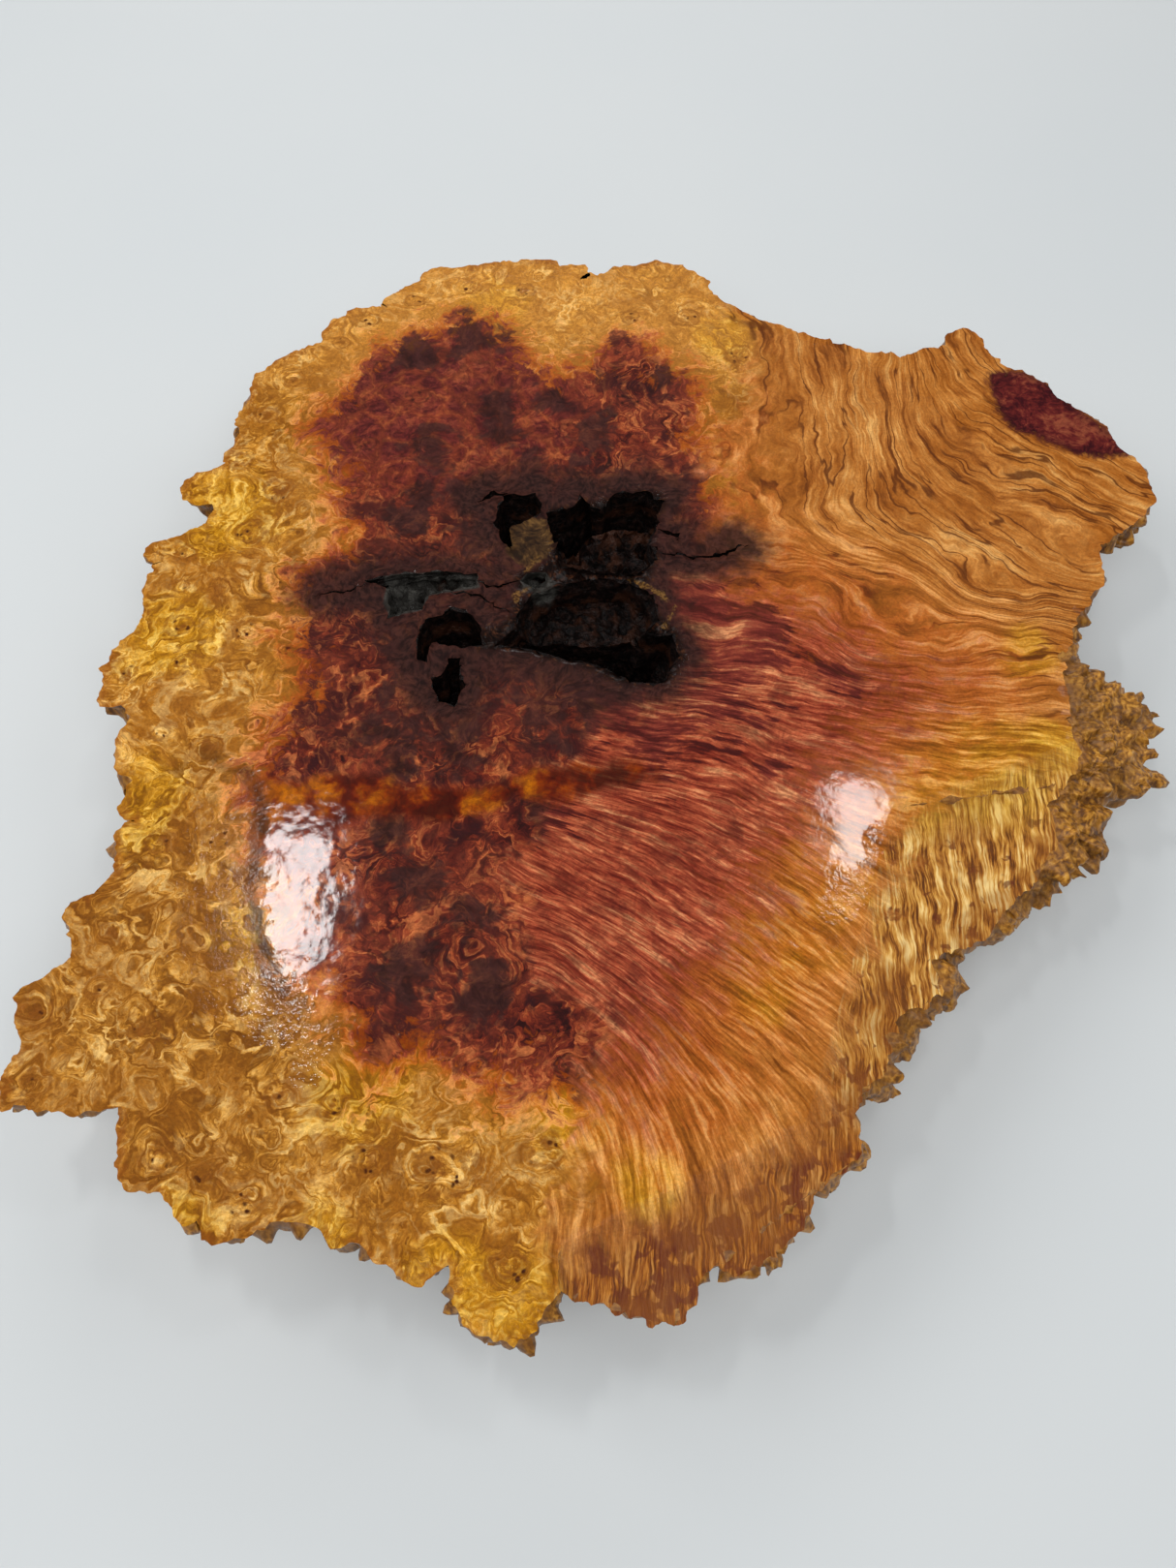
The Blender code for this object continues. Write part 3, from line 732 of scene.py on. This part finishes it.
EYES = [
    (-152, 60, 17, 11), (-202, 33, 12, 8), (-165, 112, 13, 8), (-176, 86, 12, 8), (-205, 74, 9, 6),
    (-197, 14, 9, 6), (-181, -30, 12, 8), (-202, -24, 9, 6), (-165, 185, 11, 7), (-176, 160, 10, 6),
    (-150, 165, 9, 6), (-128, 226, 10, 7), (-195, -76, 11, 7), (-170, -74, 11, 7), (-163, -20, 9, 6),
    (-221, 8, 8, 5), (-65, -211, 20, 13), (-28, -203, 14, 9), (-95, -207, 12, 8), (-110, -188, 10, 6),
    (-132, -182, 10, 7), (-141, -222, 12, 8), (-175, -206, 12, 8), (-156, -214, 9, 6), (-40, -246, 13, 8),
    (-188, -158, 12, 8), (-232, -150, 11, 7), (-228, -178, 10, 6), (-208, -116, 9, 6), (-210, -140, 9, 6),
    (-205, 55, 8, 5), (-170, 30, 11, 7), (-150, 20, 9, 6), (-186, 55, 9, 6), (-184, 132, 9, 6),
    (-105, 240, 9, 6), (-75, 250, 9, 6), (-45, 248, 9, 6), (-142, 210, 8, 5), (-98, 87, 15, 10),
    (-88, -36, 12, 8), (-74, -34, 9, 6), (-60, -120, 12, 8), (-98, -122, 11, 7), (-15, -138, 13, 8),
    (-45, -133, 11, 7), (-68, -165, 10, 7), (-55, -172, 9, 6), (-20, -172, 9, 6), (-8, -193, 8, 5),
    (-128, 110, 9, 6), (-98, 108, 9, 6), (-132, 168, 11, 7), (-98, 172, 10, 7), (-118, 192, 11, 7),
    (-92, 140, 10, 6), (-124, 142, 9, 6), (10, 172, 13, 8), (28, 160, 11, 7), (20, 192, 10, 6),
    (-50, 165, 10, 6), (-20, 150, 10, 6), (42, 228, 12, 7), (70, 200, 15, 9), (12, 228, 9, 6),
    (-98, -88, 11, 7), (-50, -88, 12, 8), (-20, -100, 11, 7), (-75, -98, 10, 6), (-35, -22, 10, 6),
    (5, -25, 10, 6), (-120, -30, 10, 6)]


def bent_sheet(knots, values, points):
    """The smoothest thin sheet that passes near every knot's value."""
    def bend(gap):
        return gap ** 2 * np.log(gap + 1e-9)
    size = len(knots)
    gaps = np.linalg.norm(knots[:, None] - knots[None], axis=2) / SHEET_UNIT
    plane = np.column_stack([np.ones(size), knots / SHEET_UNIT])
    system = np.zeros((size + 3, size + 3))
    system[:size, :size] = bend(gaps) + SHEET_GIVE * np.eye(size)
    system[:size, size:] = plane
    system[size:, :size] = plane.T
    weights = np.linalg.solve(system, np.append(values, [0, 0, 0]))
    result = np.column_stack([np.ones(len(points)), points / SHEET_UNIT]) @ weights[size:]
    for start in range(0, len(points), BATCH):
        part = points[start:start + BATCH]
        gaps = np.linalg.norm(part[:, None] - knots[None], axis=2) / SHEET_UNIT
        result[start:start + BATCH] += bend(gaps) @ weights[:size]
    return result


def mark(name, values):
    layer = mesh.attributes.new(name, "FLOAT", "POINT")
    layer.data.foreach_set("value", np.asarray(values, np.float32))


plan = spots[:, :2] + PLAN_ZERO
knots = np.array([p for _, trail in GRAIN for p in trail], float)
values = np.array([value for value, trail in GRAIN for _ in trail], float)
values = np.where(values > FAN_START, FAN_START + (values - FAN_START) * FAN_CLOSENESS, values)
mark("grain", bent_sheet(knots, values, plan))
for name, outlines in {"flow": [FLOW_LINE], "heart": [HEART_LINE], "patch": [PATCH_LINE],
                       "amber": [AMBER_LINE], "pool": [POOL_LINE], "scorch": [SCORCH_LINE],
                       "ochre": [OCHRE_LINE], "silt": [SILT_LINE, GREY_LINE]}.items():
    mark(name, np.max([reach_inside(plan, outline) for outline in outlines], axis=0))
vein_points = [Vector((*(np.array(a) + (np.array(b) - a) * share), 0)) for trail in GOLD_VEINS
               for a, b in zip(trail, trail[1:]) for share in np.linspace(0, 1, 12)]
mark("vein", distance_to(np.column_stack([plan, np.zeros(count)]), vein_points))
for name, patches in (("smoke", SMOKE), ("yellow", YELLOWS), ("proud", PROUD_GRAIN)):
    cover = np.full(count, NO_PATCH)
    for x, y, radius in patches:
        away = np.linalg.norm(plan - (x, y), axis=1) / radius
        cover = np.maximum(cover, 1 - away / PATCH_SOFTNESS)
    mark(name, cover)
swell, eye_gap = np.zeros(count), np.full(count, NO_EYE)
for x, y, radius, height in EYES:
    away = np.linalg.norm((plan - (x, y)) * (1.0, EYE_FLATNESS), axis=1) / radius
    swell += height * np.exp(-EYE_FALL * away ** EYE_CURVE)
    eye_gap = np.minimum(eye_gap, away)
mark("swell", swell)
mark("eye", eye_gap)
mark("char", distance_to(spots, spots[touches[:, ROT]]))
mark("rim", distance_to(spots, spots[rim]))
crease = touches[:, SAWN] & touches[:, FACETS].any(1)
mark("crease", distance_to(spots, spots[crease]))


# The wet sawn face
# The burl's figure, wetted: contour lines of its lumpy growth where it is eyed, long wavy lines
# where the grain runs, red heartwood inside and golden sapwood outside, all under a film of water.
def figure(f):
    """The wood's colour anywhere on the burl, its fine flecks, and how far it is scorched."""
    wandering = f.drifted(f.drifted(f.spot, 40.0, 26.0), 11.0, 10.0)
    growth = f.add(f.times(f.cloud(wandering, 24.0), 30.0), f.times(f.mark("swell"), 1.25),
                   f.times(f.cloud(wandering, 8.0, 3.0), 11.0))
    ring = f.lines(growth, 0.46, 0.035, 4.0, 0.62)
    curl = f.cloud(f.drifted(wandering, 5.0, 6.0), 9.0, 4.0, 0.62)
    haze = f.cloud(f.drifted(f.spot, 20.0, 16.0), 28.0, 3.0, 0.6)
    blot = f.cloud(f.drifted(f.spot, 12.0, 16.0), 17.0, 3.0, 0.6)
    fleck = f.cloud(wandering, 3.0, 4.0, 0.66)
    grit = f.cloud(f.spot, 1.1, 2.0, 0.6)
    speckle = f.add(f.times(fleck, 0.5), f.times(blot, 0.5))

    # Lengthwise grain, and where it takes over from the eyes.
    calm = f.fade(f.mark("grain"), 130.0, 200.0, 1.0, 0.34)
    waver = f.add(f.sway(f.cloud(f.spot, 26.0), 17.0), f.sway(f.cloud(f.spot, 8.0), 3.2))
    stream = f.add(f.mark("grain"), f.times(waver, calm))
    fan = f.fade(f.mark("grain"), 150.0, 210.0)
    broad = f.lines(stream, 0.13, 0.022, 3.0)
    narrow = f.lines(stream, 0.5, 0.055, 4.0, 0.66)
    streak = f.add(f.times(broad, f.fade(fan, 0.0, 1.0, 0.6, 0.4)),
                   f.times(narrow, f.fade(fan, 0.0, 1.0, 0.4, 0.6)))
    hair = f.lines(stream, 1.1, 0.11, 3.0, 0.62)
    crest = f.lines(stream, 0.115, 0.012, 2.0, 0.5, 7.0)
    pen_line = f.times(f.fade(f.math("ABSOLUTE", f.add(crest, -0.5)), 0.006, 0.026, 1.0, 0.0),
                       f.fade(f.cloud(f.spot, 30.0), 0.34, 0.50))
    flowing = f.fade(f.add(f.mark("flow"), f.sway(haze, 70.0), f.sway(curl, 30.0)), -8.0, 10.0)

    # Eyes and their knots, yellow patches and smoke-dark ones.
    knot_gap = f.cells(f.drifted(f.spot, 6.0, 4.0), 4.2)
    knot_zone = f.fade(f.mark("eye"), 0.15, 0.85, 1.0, 0.0)
    knot = f.times(f.fade(knot_gap, 0.14, 0.34, 1.0, 0.0),
                   f.fade(f.times(knot_zone, f.cloud(f.spot, 14.0)), 0.14, 0.34))
    eye_ring = f.math("SINE", f.add(f.times(f.mark("eye"), 15.0), f.times(curl, 14.0), f.times(haze, 10.0)))
    eye_ring = f.times(f.fade(eye_ring, 0.0, 0.9), f.fade(f.mark("eye"), 0.5, 1.15, 0.5, 0.0))
    yellow = f.fade(f.add(f.mark("yellow"), f.sway(haze, 1.4), f.sway(curl, 0.8)), 0.1, 0.65)
    along = f.times(f.sway(streak, flowing), -6.0)
    smoke = f.fade(f.add(f.mark("smoke"), f.sway(blot, 3.0), f.sway(curl, 2.0), along), -0.05, 0.5)
    smoke_wood = f.blend(flowing, f.ramp(curl, (0.40, "20100F"), (0.60, "402320")),
                         f.ramp(streak, (0.42, "3C1212"), (0.50, "6A2420"), (0.58, "94402E")))

    # Golden sapwood and red heartwood where the wood is eyed.
    lower_left = f.times(f.fade(f.x, -60.0, -150.0), f.fade(f.y, -20.0, -90.0))
    bristle = f.fade(f.add(f.mark("rim"), f.sway(fleck, 14.0)), 0.5, 5.0, 0.6, 0.0)
    sap = f.layered(
        f.ramp(ring, (0.35, "6C3E12"), (0.42, "966020"), (0.485, "B87C30"), (0.54, "D09646"),
               (0.62, "EABE74")),
        (f.fade(curl, 0.40, 0.54, 0.62, 0.0), "84501C"),
        (f.fade(curl, 0.54, 0.68, 0.0, 0.5), "ECBE72"),
        (f.fade(haze, 0.40, 0.58, 0.55, 0.0), "92581E"),
        (f.times(yellow, 0.5), f.ramp(ring, (0.38, "8A5A0C"), (0.5, "C8901E"), (0.62, "F6C850"))),
        (f.times(knot_zone, f.fade(curl, 0.54, 0.44), 0.6), "7A4418"),
        (f.fade(f.y, 150.0, 230.0, 0.0, 0.24), "F2AC58"),
        (f.times(lower_left, f.fade(ring, 0.42, 0.54, 0.4, 0.08)), "5C3412"),
        (eye_ring, "7C481C"),
        (knot, "3A180A"),
        (f.times(bristle, f.fade(haze, 0.44, 0.56)), "8A4A1C"),
        (f.fade(fleck, 0.40, 0.56, 0.34, 0.0), "74461A"))
    upper_left = f.times(f.fade(f.y, 96.0, 125.0), f.fade(f.x, -50.0, -10.0, 1.0, 0.0))
    cell_gap = f.cells(f.drifted(f.drifted(f.spot, 16.0, 9.0), 5.0, 3.5), 16.0, "DISTANCE_TO_EDGE")
    cell_wood = f.layered(
        f.ramp(f.add(f.times(fleck, 0.5), f.times(curl, 0.5)), (0.40, "3C1414"), (0.5, "5A2020"),
               (0.60, "78342A")),
        (f.fade(cell_gap, 0.03, 0.18, 0.6, 0.0), "7E3822"),
        (f.times(f.fade(cell_gap, 0.0, 0.06, 0.6, 0.0), f.fade(curl, 0.46, 0.60)), "A85A34"))
    red = f.layered(
        f.ramp(ring, (0.37, "220A0A"), (0.43, "481712"), (0.49, "6C291B"), (0.55, "8E4026"),
               (0.61, "BC6C40")),
        (f.fade(curl, 0.42, 0.56, 0.45, 0.0), "3C1412"),
        (f.fade(haze, 0.42, 0.56, 0.0, 0.25), "8E4430"),
        (f.fade(blot, 0.48, 0.59, 0.0, 0.72), "2C1214"),
        (f.fade(curl, 0.56, 0.70, 0.0, 0.5), "B4643A"),
        (f.times(upper_left, 0.7), cell_wood),
        (f.fade(fleck, 0.40, 0.56, 0.35, 0.0), "3A1210"),
        (eye_ring, "32120F"),
        (f.times(knot, 0.7), "1E0C0A"))
    ragged = f.add(f.mark("heart"), f.sway(ring, 60.0), f.sway(haze, 50.0), f.sway(curl, 50.0),
                   f.sway(fleck, 20.0))
    flush = f.ramp(ring, (0.40, "7A2A12"), (0.5, "A84C20"), (0.60, "D88A4A"))
    eyed = f.layered(sap, (f.fade(ragged, -16.0, -1.0, 0.0, 0.75), flush), (f.fade(ragged, -4.0, 6.0), red))

    # Tan sapwood and rust-red heartwood where the grain runs.
    tan = f.layered(
        f.ramp(streak, (0.37, "6A3814"), (0.43, "945624"), (0.48, "AC6C32"), (0.55, "C28242"),
               (0.64, "DCA662")),
        (f.fade(haze, 0.42, 0.58, 0.4, 0.0), "96561E"),
        (f.fade(hair, 0.42, 0.56, 0.34, 0.0), "7A441A"),
        (f.times(yellow, 0.6), f.ramp(streak, (0.40, "7A4E0A"), (0.5, "B88420"), (0.60, "F0C84C"))),
        (f.times(pen_line, f.fade(fan, 0.0, 1.0, 0.85, 0.35)), "54280E"))
    rust = f.layered(
        f.ramp(streak, (0.38, "561A12"), (0.43, "782D1F"), (0.48, "96442E"), (0.54, "B25C3E"),
               (0.64, "DA9466")),
        (f.fade(curl, 0.40, 0.54, 0.45, 0.0), "5A1E18"),
        (f.fade(hair, 0.42, 0.56, 0.42, 0.0), "50180E"),
        (f.times(pen_line, 0.4), "46160E"),
        (f.fade(blot, 0.54, 0.66, 0.0, 0.35), "3E1412"))
    streaky = f.add(f.mark("heart"), f.sway(broad, 120.0), f.sway(narrow, 90.0), f.sway(curl, 60.0))
    blush = f.ramp(streak, (0.40, "6E2A10"), (0.5, "AE5826"), (0.60, "E09C5C"))
    flowed = f.layered(tan, (f.fade(streaky, -46.0, -8.0, 0.0, 0.6), blush),
                       (f.fade(streaky, -12.0, 30.0), rust))

    # What lies over both: stained, charred and silted places, and the film's dark border.
    patch = f.add(f.mark("patch"), f.sway(fleck, 10.0), f.sway(haze, 10.0))
    patch_wood = f.ramp(speckle, (0.40, "3A0E14"), (0.5, "64201E"), (0.60, "8C4630"))
    patch_wood = f.blend(f.fade(patch, 1.0, 8.0, 0.6, 0.0), patch_wood, "280C12")
    amber = f.fade(f.add(f.mark("amber"), f.sway(haze, 20.0), f.sway(curl, 8.0)), -4.0, 4.0)
    glow = f.add(f.cloud(f.drifted(f.spot, 12.0, 10.0), 18.0, 3.0, 0.6),
                 f.fade(f.x, -130.0, -30.0, 0.06, -0.06))
    amber_wood = f.ramp(glow, (0.40, "380600"), (0.47, "601600"), (0.54, "883400"), (0.65, "C06A00"))
    amber_wood = f.blend(f.fade(fleck, 0.42, 0.58, 0.4, 0.0), amber_wood, "4A1602")
    charred = f.fade(f.add(f.mark("char"), f.sway(blot, 34.0)), 3.0, 23.0, 0.94, 0.0)
    meniscus = f.math("ABSOLUTE", f.add(f.mark("pool"), f.sway(curl, 14.0), 4.0))
    meniscus = f.times(f.fade(meniscus, 1.0, 5.5, 0.8, 0.0), f.fade(f.x, -155.0, -130.0, 1.0, 0.0),
                       f.fade(f.y, -20.0, -50.0))
    scorched = f.fade(f.add(f.mark("scorch"), f.sway(fleck, 16.0), f.sway(curl, 8.0)), -2.5, 1.5)
    scorch_wood = f.ramp(fleck, (0.40, "060303"), (0.5, "120A08"), (0.58, "28160F"), (0.68, "52301E"))
    ochre = f.fade(f.add(f.mark("ochre"), f.sway(fleck, 8.0)), -1.5, 1.5)
    gilt = f.fade(f.add(f.mark("vein"), f.sway(curl, 14.0)), 0.1, 1.6, 0.5, 0.0)
    wood = f.layered(
        f.vivid(f.blend(flowing, eyed, flowed), 1.02, 1.23),
        (f.times(smoke, 0.8), smoke_wood),
        (f.fade(patch, -2.5, 2.5), patch_wood),
        (f.times(amber, 0.94), amber_wood),
        (charred, f.ramp(fleck, (0.40, "1A0D0C"), (0.60, "3E231E"))),
        (meniscus, f.ramp(curl, (0.42, "301404"), (0.60, "7E420E"))),
        (scorched, scorch_wood),
        (ochre, f.ramp(speckle, (0.40, "24170D"), (0.5, "46301A"), (0.58, "6A4C28"))),
        (f.fade(f.mark("silt"), -0.6, 0.8), f.ramp(fleck, (0.40, "24221F"), (0.60, "3D3B37"))),
        (gilt, f.ramp(grit, (0.4, "4A2E12"), (0.6, "9A7036"))),
        (f.fade(grit, 0.38, 0.60, 0.2, 0.0), "2A140A"))
    return wood, fleck, scorched


face_finish = f = Finish("wet sawn burl face", Roughness=0.5, IOR=1.1, Coat_Roughness=0.06, Coat_IOR=1.33)
wood, _, scorched = figure(f)
f.set("Base Color", wood)
film = f.fade(f.add(f.mark("pool"), f.sway(f.cloud(f.spot, 7.0, 3.0), 14.0)), -0.8, 0.8)
proud = f.fade(f.mark("proud"), 0.0, 0.5)
grain_lift = f.times(f.cloud(f.spot, 1.7, 2.0, 0.6),
                     f.add(f.fade(film, 0.0, 1.0, 0.2, 0.03), f.times(scorched, 0.25)))
grain_lift = f.add(grain_lift, f.times(f.cloud(f.spot, 3.2, 2.0, 0.6), proud, 0.45))
near_lip = f.fade(f.mark("char"), 0.0, 3.0, 0.1, 1.0)
f.set("Coat Weight", f.times(f.fade(f.add(film, proud), 0.0, 1.0, 0.3, 1.0),
                             f.fade(scorched, 0.0, 1.0, 1.0, 0.3), near_lip))
swelling = f.times(f.cloud(f.spot, 14.0), f.fade(f.x, 20.0, 80.0, 1.0, 0.5))
lifted = f.relief(grain_lift, 0.5, f.relief(f.add(swelling, f.times(film, 0.3)), 0.22))
f.set("Normal", lifted)
f.set("Coat Normal", lifted)

facet_finish = f = Finish("rough sawn facet", Roughness=0.55, IOR=1.15, Coat_Weight=0.25,
                          Coat_Roughness=0.12, Coat_IOR=1.33)
wood, fleck, _ = figure(f)
drift = f.add(f.x, f.times(f.cloud(f.spot, 40.0), 10.0), f.times(f.cloud(f.spot, 9.0), 3.0))
saw_line = f.cloud(f.point(f.times(drift, 0.8), f.times(f.y, 0.06)), 1.0, 4.0, 0.66)
broad_line = f.cloud(f.point(f.times(drift, 0.14), f.times(f.y, 0.045)), 1.0, 3.0, 0.6)
stain = f.cloud(f.drifted(f.spot, 12.0, 10.0), 10.0, 3.0, 0.6)
lower = f.fade(f.y, -215.0, -140.0, 1.0, 0.0)
facet_wood = f.layered(
    f.ramp(f.add(f.times(saw_line, 0.55), f.times(broad_line, 0.45)), (0.42, "50260B"),
           (0.458, "925619"), (0.49, "BE8030"), (0.535, "DEA650"), (0.595, "FCDA90")),
    (f.times(lower, 0.85), f.ramp(saw_line, (0.40, "501E05"), (0.5, "8A460D"), (0.60, "BC7424"))),
    (f.fade(f.add(stain, f.times(lower, 0.11)), 0.60, 0.66, 0.0, 0.8), "5E2212"),
    (f.fade(f.cloud(f.spot, 22.0, 3.0, 0.6), 0.40, 0.54, 0.5, 0.0), "8A4E18"),
    (f.fade(f.mark("yellow"), 0.1, 0.6, 0.0, 0.5), f.ramp(saw_line, (0.4, "8A5A10"), (0.6, "E4B43C"))))
from_crease = f.add(f.mark("crease"), f.sway(f.cloud(f.spot, 14.0, 4.0, 0.6), 50.0))
f.set("Base Color", f.blend(f.fade(from_crease, 0.0, 16.0, 0.9, 0.08), facet_wood, wood))
proud = f.fade(f.mark("proud"), 0.0, 0.5)
lifted = f.relief(f.times(f.cloud(f.spot, 1.7, 2.0, 0.6), proud), 0.9,
                  f.relief(saw_line, 0.7, f.relief(fleck, 0.3)))
f.set("Normal", lifted)
f.set("Coat Normal", lifted)


# The live edge
# Bark-stripped outer wood, drier than the face: golden brown ribs and spikes, with painted shade darkening the
# folds.
edge_finish = f = Finish("spiky live edge", Roughness=0.5, IOR=1.3, Coat_Weight=0.4, Coat_Roughness=0.22,
                         Coat_IOR=1.33)
drifting = f.drifted(f.spot, 9.0, 6.0)
drawn_out = f.node("ShaderNodeVectorMath", {0: drifting, 1: (0.5, 0.5, 0.09)}, operation="MULTIPLY")
ribs = f.cloud(drawn_out.outputs[0], 1.0, 3.0)
fold_shade_pointiness = f.node("ShaderNodeNewGeometry").outputs["Pointiness"]
f.set("Base Color", f.layered(
    f.ramp(ribs, (0.34, "623A10"), (0.46, "946018"), (0.56, "B87C28"), (0.68, "D69C40")),
    (f.fade(f.cloud(f.spot, 34.0), 0.4, 0.64, 0.0, 0.5), "6A4418"),
    # Painted shade: where the pointiness is low, in the folds between ribs and spikes, the colour is darkened.
    (f.fade(fold_shade_pointiness, 0.40, 0.52, 0.8, 0.0), "3A200C"),
    (f.fade(f.cloud(drifting, 8.0), 0.54, 0.7, 0.0, 0.45), "4A2410"),
    (f.fade(f.mark("rim"), 1.0, 7.0, 0.45, 0.0), "7A4A1C")))
f.set("Normal", f.relief(ribs, 0.6, f.relief(f.cloud(f.spot, 1.2), 0.12)))


# The rotted hollows
# Charred-looking crumbled heartwood, black-brown and wet, with two flat floors of dried grey silt.
rot_finish = f = Finish("wet black rot", Roughness=0.6, IOR=1.15, Coat_Weight=0.25, Coat_Roughness=0.12,
                        Coat_IOR=1.3)
crumb = f.cloud(f.drifted(f.spot, 6.0, 5.0), 3.0, 4.0, 0.65)
ledge = f.times(f.fade(f.z, 41.0, 44.0), f.fade(f.z, 48.0, 54.0, 1.0, 0.0))
silt = f.times(f.fade(f.mark("silt"), -3.0, -1.0), f.fade(f.z, 45.0, 50.0))
ochre = f.times(f.fade(f.mark("ochre"), -2.0, 1.0), f.fade(f.z, 40.0, 54.0))
f.set("Base Color", f.layered(
    f.ramp(crumb, (0.40, "060404"), (0.52, "120A08"), (0.62, "241612")),
    (f.times(ledge, f.fade(f.cloud(f.spot, 9.0, 3.0), 0.44, 0.58), 0.8), "3A2014"),
    (silt, f.ramp(f.cloud(f.spot, 5.0, 3.0), (0.4, "262421"), (0.6, "3F3D39"))),
    (ochre, f.ramp(crumb, (0.40, "1E140C"), (0.5, "3A2816"), (0.62, "5E4424")))))
lifted = f.relief(crumb, 1.6, f.relief(f.cloud(f.spot, 1.1), 0.4))
f.set("Normal", lifted)
f.set("Coat Normal", lifted)


# The sawn underside
# Dry band-sawn wood that the photograph doesn't show: paler, matt, with faint straight saw marks.
SHARP_FROM = 38

under_finish = f = Finish("dry sawn underside", Roughness=0.7)
wood, fleck, _ = figure(f)
saw_mark = f.cloud(f.point(f.times(f.x, 0.02), f.times(f.y, 0.55)), 1.0)
f.set("Base Color", f.blend(f.fade(saw_mark, 0.3, 0.7, 0.35, 0.55), wood, "B79468"))
f.set("Normal", f.relief(saw_mark, 0.25, f.relief(fleck, 0.15)))

finishes = {SAWN: face_finish, EDGE: edge_finish, ROT: rot_finish, UNDER: under_finish}
for kind in KINDS:
    mesh.materials.append(finishes.get(kind, facet_finish).material)
bpy.ops.object.select_all(action="DESELECT")
burl.select_set(True)
bpy.context.view_layer.objects.active = burl
bpy.ops.object.shade_smooth_by_angle(angle=math.radians(SHARP_FROM))

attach(burl, "root")
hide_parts("mallee_burl")
